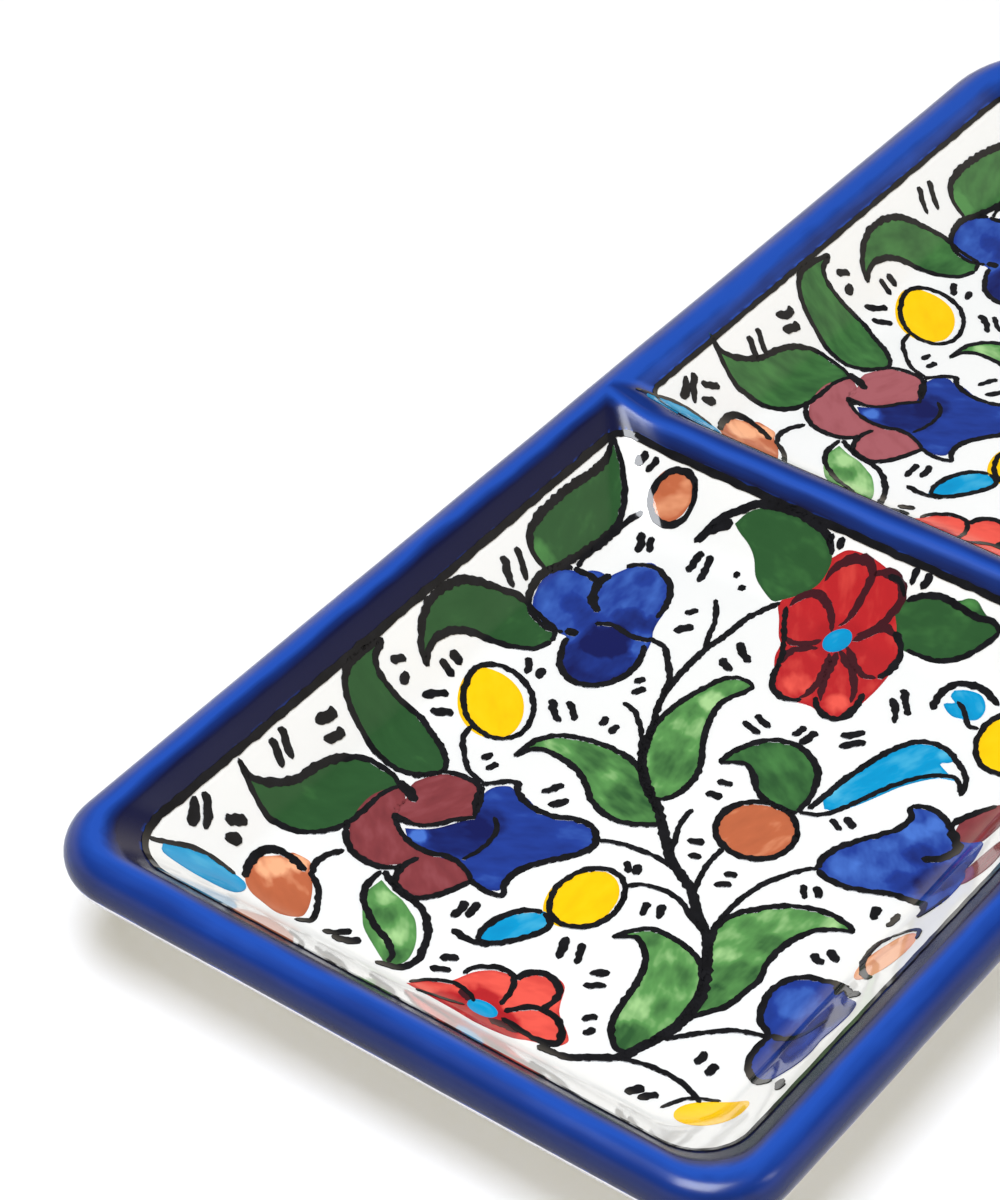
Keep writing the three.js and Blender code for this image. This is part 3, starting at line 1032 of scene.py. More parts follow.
            (-7, -37.5, 2.1, -0.5), (-6.3, -43.6, 2.4, -0.3), (-3.6, -51.5, 3.2, 0.2),
            (-8.8, -48, 1.4, -0.3),
        ],
    ),
    leaf(
        "light_green",
        pairs(
            -22.1, -63.2, -21.7, -58.9, -19.7, -56.1, -16.7, -54.7, -13.3, -54, -10, -54, -7.2, -55,
            -4.4, -57.2, -1.7, -59.4, 0.8, -61.5,
        ),
        pairs(
            1.2, -62.5, 0, -63.6, -2.8, -65.1, -5.6, -65.2, -8.9, -63.8, -11.1, -61.9, -13.3, -60.5,
            -16.1, -59.7, -19.4, -59.7, -21.4, -61,
        ),
        tone=0.2,
        daubs=[
            (-18.6, -58.6, 2, -0.3), (-13.5, -57.6, 2.6, 0.15), (-4.4, -60.5, 3.4, 0.3),
            (-9.5, -58.5, 1.5, -0.25),
        ],
    ),
    # the red flower of six petals, washed in one
    blob(
        "red",
        -7.4, -7, -5.6, -5.6, -2.2, -5.3, 1.3, -5.8, 4.1, -6.7, 5.9, -8.6, 6.6, -10.8, 8.3, -13.3,
        9.4, -16.7, 9.9, -21.1, 9.9, -25, 9.7, -28.9, 8.9, -30.8, 6.3, -30.8, 4.7, -30.3, 3, -30.6,
        1.3, -31.2, -0.3, -31.1, -2, -29.6, -3.6, -27.2, -5.3, -24.4, -6.1, -21.8, -7.4, -20.3,
        -9.4, -17.2, -11.1, -14.8, -10.8, -13.2, -9.3, -12, -7.8, -9.6,
        daubs=[
            (-0.2, -16.4, 4, 0.35), (0.4, -27.4, 2, -0.35), (7, -27.6, 1.7, -0.4), (-2, -25, 1.6, -0.1),
        ],
    ),
    fruit("turquoise", -0.1, -16.3, 1.8, 2.7, outline=None),
    blob(
        "green",
        4.1, -8.9, 6.3, -7.2, 9.1, -6.2, 12.4, -5.8, 13.8, -5.1, 15.2, -5, 16.9, -5.8, 19.1, -6.4,
        20.2, -7.2, 18.6, -8.9, 16.3, -11.1, 13.6, -12.5, 10.8, -12.9, 8.6, -13.1, 6.9, -12.2, 5.8, -10.6,
        daubs=[(14.5, -5, 1.4, -0.4)],
    ),
    blob(
        "turquoise",
        18.8, -15.6, 20.2, -14.6, 22.4, -14.4, 24.1, -16.1, 24.6, -18.3, 23.8, -19.6, 21.3, -20.3,
        19.1, -18.9, 20.2, -17.8, 19, -16.9,
    ),
    fruit("yellow", 31.2, -19.7, 5.2, 7.5),
    blob(
        "turquoise",
        17.2, -46.9, 15.9, -45, 15.9, -42, 16.9, -38.5, 17.6, -34.4, 18.8, -31.2, 20.2, -28.6,
        21.9, -27.4, 24.1, -27.2, 26, -27.8, 25.8, -29, 24.9, -30, 26.9, -31.1, 28.3, -31.7, 26.3, -32.6,
        24.7, -34.4, 23, -37.2, 21.6, -40.6, 20.2, -43.9, 18.8, -46.1,
        daubs=[(16, -44, 1.5, -0.4), (25, -28, 1.2, -0.3)],
    ),
    leaf(
        "green",
        pairs(
            0.8, -47.5, 1.3, -44.4, 2.4, -41.7, 4.1, -39.4, 6.9, -38.4, 9.7, -38.9, 12.2, -40.6, 13.8, -43.3,
            14.7, -46.7, 14.9, -49.5,
        ),
        pairs(14, -50, 10.2, -50, 8, -48.9, 5.8, -46.7, 4.1, -45.6, 2.4, -46.4),
        tone=-0.1,
        daubs=[(7, -42, 3, -0.1)],
    ),
    fruit("orange", 12.4, -55.7, 5.3, 5.4, outline=(0, 0), reach=1.03, tone=0.05),
    blob("maroon", 34, -41, 33.5, -38, 34.5, -35, 36, -32.5, 38, -33, 39, -37, 38.5, -41, 37, -42),
    blob("maroon", 40.5, -49, 41.5, -52.5, 43, -53, 44.5, -50, 44, -45, 42, -43),
    blob(
        "blue",
        26.5, -39.6, 28.6, -38.5, 30.8, -38.8, 32.8, -40, 34.2, -41.6, 36.9, -41.6, 38.8, -41.6,
        40.2, -46.1, 40.5, -48.9, 41.9, -51.7, 42.2, -55, 41.8, -57.5, 40, -59.2, 38.7, -56.2,
        36.5, -55.4, 33.6, -55.3, 30.9, -56.7, 28, -57.7, 25.2, -57.9, 23, -57.1, 22.5, -55, 22.9, -52.8,
        24.1, -50, 25.8, -47.2, 27.4, -44.4, 27.7, -41.8,
        tone=-0.1,
        daubs=[
            (32.5, -46.8, 2, 0.4), (38, -50.2, 3.9, 0.5), (33.4, -52.6, 2, 0.35), (29.6, -43.4, 1.7, -0.3),
            (27.6, -48, 1.3, -0.25), (25.4, -54.6, 2, -0.25), (31, -40.6, 1.3, -0.3), (29.6, -53, 1.3, -0.2),
        ],
    ),
    # On the far side of the well, which the picture doesn't show
    leaf(
        "green",
        pairs(40, -6, 42.5, -9, 43.8, -14, 43.6, -19, 42, -23.5),
        pairs(40, -20, 39, -14, 38.8, -9),
    ),
]

STROKES = [
    # the vine, from the top of the well to its foot
    (1.6, pairs(
        -10.6, -46.7, -9.4, -50, -8, -53, -6, -55.5, -3.3, -58, -0.9, -59.7, 1.7, -62.2, 4.4, -65.1,
        7.2, -67.6, 11.2, -69.8, 13, -71.3, 15.2, -73.6, 18, -75.8, 20.2, -78.6, 22.2, -81.9, 23.9, -85.2,
        24.5, -89, 24.5, -91.3, 23.9, -94.1, 22.9, -97.4, 22.2, -99.4, 21.3, -100.8, 19.1, -102.4,
        16.3, -104.4, 12.4, -105.2,
    )),
    (1.1, pairs(
        -21.7, -31.9, -18.9, -32.2, -16.7, -34.4, -14.4, -37.2, -13.3, -40, -12.2, -43.3, -10.6, -46.7,
        -9.4, -49.5, -8, -52.8,
    )),
    (1.1, pairs(
        -11.1, -14.4, -12.2, -17.2, -13.1, -20.6, -13.4, -25, -13.9, -28.9, -13.9, -33.3, -13.6, -36.7,
        -13, -41,
    )),
    (0.9, pairs(-18.9, -19.2, -17.2, -21.7, -15.8, -24.4, -14.7, -27.8, -14.2, -28.9)),
    (0.9, pairs(-16.7, -45.3, -14.4, -45.8, -11.7, -48.1, -9.4, -51.1, -7.8, -53.6)),
    (0.9, pairs(-30.6, -61.5, -30, -64.1, -28.3, -66.3, -25.6, -68.8, -22.2, -70)),
    (0.9, pairs(3.3, -57.3, 3.6, -60.8, 4.7, -63.6, 5.8, -66.3)),
    (0.9, pairs(-3.2, -69.9, -2, -69.1, 1.3, -68.2, 4.7, -67.9, 7.4, -68.3)),
    (0.9, pairs(10.8, -61.2, 10.9, -64.7, 11.6, -68, 12.7, -71)),
    (0.9, pairs(23, -57.2, 21.9, -58, 19.4, -62.4, 18.3, -66.3, 18, -70.8, 18.3, -75)),
    (0.9, pairs(24.4, -94.6, 26.9, -91.6, 29.1, -89.4, 31.3, -87.7, 35, -86.4)),
    (0.9, pairs(21.3, -100.8, 23.8, -99.9, 26.3, -99.3, 30.2, -99.3, 32.4, -100, 34.4, -100.9)),
    (0.9, pairs(4.6, -75, 6.1, -73.4, 9.1, -72.5, 11.9, -72.8, 14.7, -74.4, 17.9, -76)),
    (1.2, pairs(-8.9, -94.7, -6, -95, -3, -94)),
    (1.2, pairs(-29.2, -91.3, -30.3, -93, -30.8, -94.7, -30.6, -96.3, -29.7, -97.3)),
    (0.9, pairs(-37, -11.4, -37.8, -13.3, -38.2, -16.7, -38.3, -21, -38.4, -24.4, -38, -26.4)),
    # round the maroon flower
    (1.7, pairs(-31.7, -76.1, -30.4, -76.8, -28.8, -77.4, -27.3, -78.3)),
    (1.0, pairs(-30.9, -74.5, -29.8, -73.4, -28.3, -71.7)),
    (1.0, pairs(
        -28.4, -71.4, -26.8, -70.8, -25, -70.4, -22.6, -70.7, -21.2, -71.9, -20.2, -73.6, -19.4, -75.4,
    )),
    (1.1, pairs(
        -32.6, -86.4, -31.3, -88.4, -29.5, -90.2, -27.5, -91.1, -25.4, -91.3, -23.4, -91, -22, -90.1,
        -21.1, -88.9,
    )),
    (1.1, pairs(
        -20.4, -86.6, -21, -88.4, -21, -90.4, -20, -92.3, -18.2, -93.2, -16.2, -93, -14.6, -91.5,
        -13.4, -89.3, -12.6, -87.2, -12.2, -86,
    )),
    # round the blue bell
    (1.15, pairs(
        -22.4, -70.3, -21.2, -69.1, -19.9, -67.8, -18.6, -67.2, -17.8, -68.2, -16.4, -69.2, -14, -69.9,
        -11.2, -69.7, -8.6, -68.6, -6.6, -68.1, -4.8, -68.6, -3.6, -69.9, -3.2, -71.5, -4, -73.7,
        -5.5, -75.9, -7, -78, -8.2, -80.3, -8.6, -82.5, -8.2, -84.3, -7.3, -85.8, -9, -86.4, -11.2, -86.3,
        -12.6, -85.8,
    )),
    (0.9, pairs(-21.8, -70.4, -21.4, -72.4, -20.3, -74.4, -19.2, -75.9)),
    (1.0, pairs(
        -28.2, -82.2, -26.5, -83.3, -24.5, -84.5, -22, -85.2, -19.5, -85, -17.5, -84.3, -15.5, -84.3,
        -13.8, -85, -12.3, -86,
    )),
    (1.0, pairs(-28.2, -81.9, -26, -82, -24, -81.5, -22.5, -80.2, -21.3, -78.5, -20.1, -77, -19, -75.8)),
    (1.5, pairs(-28.5, -81.8, -27.4, -82.2, -26.2, -82.6)),
    (0.8, pairs(-17.2, -74.4, -15.6, -75.9, -14.8, -78.4, -14.9, -81, -15.6, -83.6)),
    # round the light leaf at the foot of the maroon flower
    (1.3, pairs(
        -22.6, -91.3, -18.9, -93, -15.6, -93.6, -13.3, -94.7, -11.1, -96.9, -9.4, -100.2, -9, -102.4,
        -10, -104.4, -12.2, -105.4, -13, -105.6,
    )),
    (1.1, pairs(
        -22.9, -91.5, -22.8, -94.7, -21.7, -96.9, -19.7, -98.6, -17.2, -100.2, -14.4, -101.3, -12.2, -103,
        -11.7, -104.6,
    )),
    # round the orange berry
    (1.3, pairs(
        -35.8, -104.1, -36.9, -101.9, -37.4, -99.1, -36.7, -97.4, -35, -96.6, -32.8, -96.9, -30.8, -97.6,
    )),
    (1.0, pairs(-30.4, -97.2, -27.8, -98.8, -26.1, -100.8, -24.8, -103, -24.5, -104.4, -26.1, -105.8)),
    (0.9, pairs(-45, -112, -43.9, -110.5, -42.2, -107.7, -40.6, -106.1, -38.3, -105.1, -36.7, -104.8)),
    # round the red flower at the foot
    (1.0, pairs(-2.8, -100.4, -2.3, -98.6, 0, -96.9, 2, -96.6, 3.3, -97.6, 4.1, -99.7, 4.4, -102)),
    (1.2, pairs(3.2, -97.2, 4.1, -94.9, 6.3, -94.1, 8.6, -95.2, 9.4, -97.4, 9.1, -99.6)),
    (1.1, pairs(
        5.4, -102.7, 7.4, -100.2, 9.7, -99.4, 11.9, -99.9, 13.6, -101.6, 14, -103.2, 11.9, -104.1,
        9.1, -104.1, 5.8, -103.8,
    )),
    (0.7, pairs(-7.2, -106, -5.6, -103.8, -2.8, -102.4, 0, -102.7, 1.4, -103.6)),
    (0.6, pairs(-5.5, -106.8, -2, -105.8, 0.8, -104.8)),
    (0.6, pairs(30.8, -104.6, 32.2, -101.6, 34, -100.3, 36.4, -99.4)),
    # round the blue flower near the right wall, and the berry above it
    (1.1, pairs(
        34.9, -86.2, 32.4, -84.7, 31.2, -82.4, 30.6, -79.7, 31.1, -76.9, 33, -74.7, 35.8, -74, 38, -74.5,
        39.9, -76.2, 41.1, -77.7,
    )),
    (1.1, pairs(35, -86.2, 34.7, -89.1, 35.4, -91.9, 37.4, -94.1, 39.7, -95.6, 41.4, -95.9)),
    (1.1, pairs(34.8, -86, 37, -86.2, 39.4, -85.2, 41.2, -83)),
    (0.9, pairs(38.6, -63.6, 37.4, -65.2, 37.6, -68.6, 39, -71.3, 40.8, -73.4, 42, -74.1)),
    (0.6, pairs(38.4, -63.5, 40.8, -63.1, 42.6, -63.9, 43.6, -66.3)),
    # round the leaf at the top
    (1.1, pairs(
        -27.8, -11.7, -27.2, -10, -25.6, -8, -23.4, -6.4, -21.1, -5.1, -18.3, -4.5, -13, -4.4, -9.5, -5.2,
        -7.5, -6.8,
    )),
    (1.2, pairs(-27.7, -11.4, -26.6, -9.9, -25.2, -8.8, -23.6, -8)),
    # round the blue flower of three lobes
    (1.1, pairs(
        -33.2, -21, -32.4, -19.6, -30.8, -18.8, -29.2, -18.6, -27.8, -19.2, -26, -20.6, -24.4, -22.9,
        -23.5, -25.5, -23.2, -27.8,
    )),
    (1.5, pairs(-34.1, -23.6, -34.3, -26, -33.6, -28.4, -32.2, -30.4, -30.6, -31.6)),
    (1.2, pairs(-38.2, -27.2, -36.8, -26.3, -35.4, -26, -34.2, -26.4)),
    (1.1, pairs(-29.6, -33.9, -27.8, -32.8, -26, -32.7, -24, -33.1, -22.3, -32.7, -20.6, -31.8)),
    (1.0, pairs(
        -38.4, -27, -39.6, -29.5, -40, -32.8, -39.5, -35.8, -38.2, -37.8, -36.4, -38.5, -34, -38.7,
        -32, -38,
    )),
    (1.7, pairs(-32, -37.9, -31, -37.4, -30.2, -37.9)),
    (1.15, pairs(
        -31, -38.6, -30.1, -41, -28.4, -43.8, -26.3, -45.4, -24, -45.7, -21.7, -44.5, -20.1, -42, -19.6, -39,
        -20.1, -36, -21.3, -33.5,
    )),
    # round the red flower of six petals
    (0.9, pairs(-9.9, -14.6, -8.4, -17.4, -6.4, -20.6, -4.7, -23.6, -3.6, -26.8)),
    (1.1, pairs(-4, -25.4, -3.1, -28.4, -1.6, -30.5, 0, -31.2, 1.6, -31, 2.7, -29.9)),
    (1.2, pairs(4, -28.3, 5.3, -30, 7, -30.9, 8.7, -30.7, 9.6, -28.8, 9.5, -26.2, 8.9, -23.8)),
    (1.2, pairs(6, -11.4, 7.8, -12.6, 8.9, -14.6, 9.3, -17.2, 8.8, -20)),
    (0.7, pairs(1.5, -6.4, 3.6, -6.5, 5.2, -7.7)),
    # the leaf to the right of it
    (0.8, pairs(5.6, -8, 7.4, -6.9, 10, -6.2, 13, -6.3, 15.8, -6.6, 18.6, -6.3, 20.3, -7)),
    (0.8, pairs(20.3, -7, 18.6, -9.2, 16.4, -11.2, 14, -12.5, 11.4, -12.9, 9, -13)),
    # the turquoise bud and leaf
    (1.3, pairs(18.3, -21.1, 17.7, -18.9, 17.6, -16.1, 18.8, -14.2, 21.9, -13.6, 24.1, -14.4, 25.4, -15)),
    (0.9, pairs(20.2, -17.5, 21.9, -18.6, 23.3, -20.2, 24.4, -21, 25.6, -20.6)),
    (1.1, pairs(
        15.6, -48.2, 16.1, -44.4, 16.4, -40.6, 17.1, -36.7, 17.8, -33.3, 18.8, -30.4, 20.2, -28.1,
        22.4, -26.9, 24.7, -27.1, 27.4, -28.6, 29.4, -30.3, 30.3, -32.2, 30.6, -33.9,
    )),
    (0.9, pairs(
        30.4, -33.4, 29.4, -31.9, 28, -31.2, 26.1, -32.2, 24.4, -33.9, 22.7, -36.7, 21.3, -40, 19.9, -43.9,
        18.6, -46.7, 17.2, -48.4, 15, -49.4,
    )),
    # round the blue bell at the right
    (1.1, pairs(26.4, -39.6, 28.6, -38.4, 31.1, -38.8, 32.9, -40, 34.4, -41.4)),
    (1.6, pairs(33.2, -40.2, 35.2, -42.2, 36.2, -43.9, 34.9, -46.1, 32.9, -47.4)),
    (1.1, pairs(
        26.4, -39.5, 27.7, -41.7, 27.4, -44.4, 25.8, -47.2, 24.1, -50, 22.8, -52.8, 22.4, -55, 23, -57.2,
    )),
    (1.1, pairs(
        23, -57.2, 25.2, -57.9, 28, -57.7, 30.8, -56.7, 33.6, -55.3, 36.3, -55.3, 38.6, -56.1,
        39.7, -57.8, 39.9, -59.6,
    )),
    (0.7, pairs(39.9, -59.7, 41.3, -57.8, 42, -55.6)),
    (1.1, pairs(32.8, -40.2, 33, -38.3, 34.1, -35.6, 35.8, -32.8)),
]

# Dark lines round the petals of the red flowers
PETAL_LINES = [
    pairs(-6.9, -9.6, -6.4, -8, -4.6, -6.4, -2.2, -5.9, -0.7, -7, -0.7, -9.6, -1, -12.4, -1.6, -14),
    pairs(-0.6, -6.9, 1, -6.2, 3.2, -6.3, 4.9, -7.9, 4.3, -10.2, 3, -12.4, 1.4, -14),
    pairs(1.6, -15.4, 3, -12.9, 4.6, -11.5, 6.6, -11.9),
    pairs(8.6, -20, 6.8, -20.7, 4.6, -19.4, 2.6, -17.6, 1.4, -16.6),
    pairs(1.2, -18, 3.4, -19.6, 5.6, -21.2, 7.6, -24.2, 8.6, -26.6),
    pairs(1.2, -18.6, 2.2, -21.8, 3.4, -25.6, 5, -28.8),
    pairs(0.4, -19.4, 1.6, -21.8, 2.5, -25.2, 2.7, -28.4, 2.2, -30),
    pairs(-1.4, -19.4, -3.2, -20.8, -4.2, -22.6, -3.8, -25.4),
    pairs(-2, -17.6, -3, -19.4, -5, -20.6, -6.8, -20),
    pairs(-9.6, -14.4, -9.2, -12.6, -7.4, -11.2, -5, -11.7, -3.2, -13.2, -1.8, -15.4),
    pairs(-1.5, -102.8, 1.2, -103.6), pairs(9.2, -104.6, 4.6, -105),
]

# Short strokes that fill the ground, from start to end
TICKS = [
    (-42.6, -60.8, -43.2, -62.8), (-41.3, -62, -41, -63.6), (-36.8, -58.8, -38.5, -62),
    (-34.3, -61, -36.5, -62.8), (-25, -64.5, -25.2, -66), (-23, -65.8, -23.6, -67.3),
    (-13.4, -63.9, -14.8, -66.6), (-11.2, -65.9, -12.7, -68), (-43.1, -75.6, -43.5, -79),
    (-41.3, -76.4, -41.7, -79.6), (-45.2, -84.2, -42.5, -85.7), (-45, -86.6, -42.5, -87.9),
    (-40.8, -97.6, -42, -100), (-39.8, -100, -40.6, -101.8), (-45.2, -100.3, -42.8, -103.5),
    (-45.5, -102, -44, -105), (-19.2, -102.8, -21.8, -105), (-17.1, -103.5, -20.2, -105.1),
    (-10.5, -89.7, -10.3, -92.8), (-9, -88.9, -8.5, -91.6), (-5, -98.6, -6.8, -99.7),
    (-4.6, -100.8, -6.8, -101.8), (23.3, -60.9, 24.6, -62.7), (24.9, -60.1, 26.2, -61.4),
    (33.6, -58.6, 33.9, -60.7), (36.3, -58.6, 36.4, -61.1), (8, -61.8, 6.3, -62.7), (9.3, -64.4, 8, -65),
    (15, -64.4, 13.8, -65.1), (15.5, -66.5, 13.9, -67.6), (32.6, -69, 34.4, -70.1),
    (31.3, -70.8, 33.1, -71.5), (3.8, -70.6, 4.2, -72.2), (2.2, -71, 3.3, -72.4),
    (8.8, -75.8, 9.4, -77.9), (10.8, -74.9, 11.5, -77.1), (4.1, -87.2, 5.3, -90.7),
    (6.3, -87, 7.7, -90.1), (12, -89.1, 10.3, -90.5), (13, -91.3, 10.9, -92.8),
    (15.3, -96.4, 14.2, -97.7), (16.4, -98.4, 15.7, -99.6), (29.9, -93.4, 30.1, -95.5),
    (32.1, -94.4, 32.3, -96.3), (27, -102.9, 25.8, -104.8), (29.2, -102.9, 27.7, -104.7),
    (-40.8, -5.3, -41.6, -6.9), (-38.9, -5.3, -39.6, -6.9), (-35.4, -14.2, -33.9, -17.2),
    (-33.6, -13.9, -32.5, -16.1), (-26, -12.5, -25.6, -16.4), (-24.4, -12.5, -23.2, -17.3),
    (-19.5, -13, -19.1, -13.6), (-17.5, -14.6, -17.1, -15.2), (-19.7, -22.8, -20.6, -24.2),
    (-18.3, -26.1, -19.7, -28.3), (-10.7, -25.1, -7.5, -27.7), (-10.8, -29.4, -8.6, -30.8),
    (-45.7, -33.3, -42.8, -35.3), (-45.8, -36.1, -43.1, -37.9), (-17.3, -39.4, -17.7, -40.8),
    (-16, -41.1, -16.8, -42.8), (-32.8, -45.6, -31.1, -48.1), (-29.6, -46.1, -29, -47.9),
    (-24.7, -50.6, -21.4, -53.6), (-22.7, -49.7, -20, -52.2), (-16.7, -49.2, -16.4, -50.8),
    (-14.4, -49.7, -14.3, -51.4), (-40, -53.6, -38.6, -53.6), (-40, -55.6, -38.1, -55.8),
    (-8.8, -5, -8.9, -5.8), (-7.2, -4.9, -7, -5.8), (5.1, -4.6, 5.3, -6.1), (7.2, -4.6, 6.9, -6.1),
    (13, -20, 16.2, -23.9), (12.7, -22.5, 15.5, -26.4), (13.3, -30.6, 11.3, -33),
    (14.5, -32.3, 12.3, -35), (-0.3, -36.4, 2.3, -37.5), (-1, -38.6, 1.9, -39.4),
    (6.2, -34.6, 5.8, -36.8), (8, -34.6, 7.6, -37.7), (20.7, -46.7, 22.4, -47.8), (19.4, -48, 21.3, -49),
    (4.7, -50.3, 3, -50.8), (4.9, -53, 3.1, -53.7), (35, -9.5, 36.6, -11.2), (36.8, -8.4, 37.6, -9.8),
    (42, -28, 43.6, -30.4), (40.6, -29.6, 42, -31.8), (37.5, -74.5, 38.8, -76.4), (41, -77, 42.6, -78.2),
    (43, -96.5, 44.2, -98.6), (28, -9.5, 29.6, -11.5), (30, -8.6, 31.3, -10.4),
]

ORDER = ["yellow", "orange", "light_green", "red", "green", "maroon", "turquoise", "blue", "black"]
# Widths and lengths of the brush's marks, in millimetres
TICK_WIDTH = 1.15
TICK_REACH = 0.25  # how far a tick runs past its two points
TICK_LIMIT = -45.5  # a tick that reaches further left than this would run into the painted border
TICK_INWARD = 2  # so it is moved in by this much
PETAL_LINE_WIDTH = 1.15
DAUB_EDGE = 1.0  # how far a second touch of the brush fades out
FAR_TONES = {"green": -0.25, "light_green": -0.2, "maroon": -0.45}  # washes that are thinner in the far well
BORDER_WIDTH = {NEAR: 0.85, FAR: 0.6}
WASH_STRAY = 0.25  # how far a wash may lie off its outline
LINE_SHARE = {NEAR: 1, FAR: 0.85}  # the second well is drawn with a finer brush
# Each kind of line counts its seeds from a number of its own, so that the lines shake differently
STROKE_SEED = 500
PETAL_LINE_SEED = 600
TICK_SEED = 700
BORDER_SEED = 900


def height_of(colour, thickness):
    """Later colours lie on earlier ones, and the black lines stand well clear of all of them."""
    if colour == "black":
        return thickness
    return thickness * (0.2 + 0.55 * ORDER.index(colour) / (len(ORDER) - 2))


# How the far well's painting differs from the near well's, fitted to the part of it that shows
FAR_SHIFT = (2.6, 0.75)  # how far it lies off, across the dish and along it
FAR_SLANT = 0.049  # how far it leans across for each millimetre along
FAR_SQUEEZE = 0.03  # how much shorter each millimetre is
SQUEEZE_FROM = -88  # and from where on
FAR_STRAY = 0.3  # and how far the hand strays


def moved_to(side, point):
    """A place of the near well's painting in the well at that side.

    The second well is painted by hand again, so it strays.
    """
    if side == NEAR:
        return point
    stray = Vector((noise.noise(Vector((*point, 40)) / 15), noise.noise(Vector((*point, 90)) / 15)))
    across = FAR_SHIFT[0] + FAR_SLANT * point.y
    along = FAR_SHIFT[1] - FAR_SQUEEZE * max(point.y - SQUEEZE_FROM, 0)
    return point + Vector((0, WELL_PITCH)) + Vector((across, along)) + FAR_STRAY * stray


def border(side):
    """The painted line between cobalt and white, once round, in plan."""
    made = []
    for place in well_places()[:-1]:
        point = well_point(side, place, painted_level(side, place))
        made.append(Vector((point.x, point.y)))
    return made


def distance_to(line, point):
    """From a point to a closed line in plan."""
    best = 1e9
    for start, end in zip(line, line[1:] + line[:1]):
        along = end - start
        length = along.length_squared
        share = min(max((point - start).dot(along) / length, 0), 1) if length else 0
        best = min(best, (point - start - along * share).length_squared)
    return math.sqrt(best)


def fill_field(outline, cell):
    """A flat sheet of faces inside an outline, cut into cells so that it can lie on a curved surface."""
    bm = bmesh.new()
    face = bm.faces.new([bm.verts.new((point.x, point.y, 0)) for point in outline])
    face.normal_update()
    bmesh.ops.triangulate(bm, faces=bm.faces[:], ngon_method="EAR_CLIP")
    for axis in (0, 1):
        low = min(point[axis] for point in outline)
        high = max(point[axis] for point in outline)
        line = low + cell / 2
        while line < high:
            where, facing = [0, 0, 0], [0, 0, 0]
            where[axis], facing[axis] = line, 1
            whole = bm.verts[:] + bm.edges[:] + bm.faces[:]
            bmesh.ops.bisect_plane(bm, geom=whole, dist=1e-4, plane_co=where, plane_no=facing)
            line += cell
    bmesh.ops.remove_doubles(bm, verts=bm.verts, dist=0.01)
    return bm


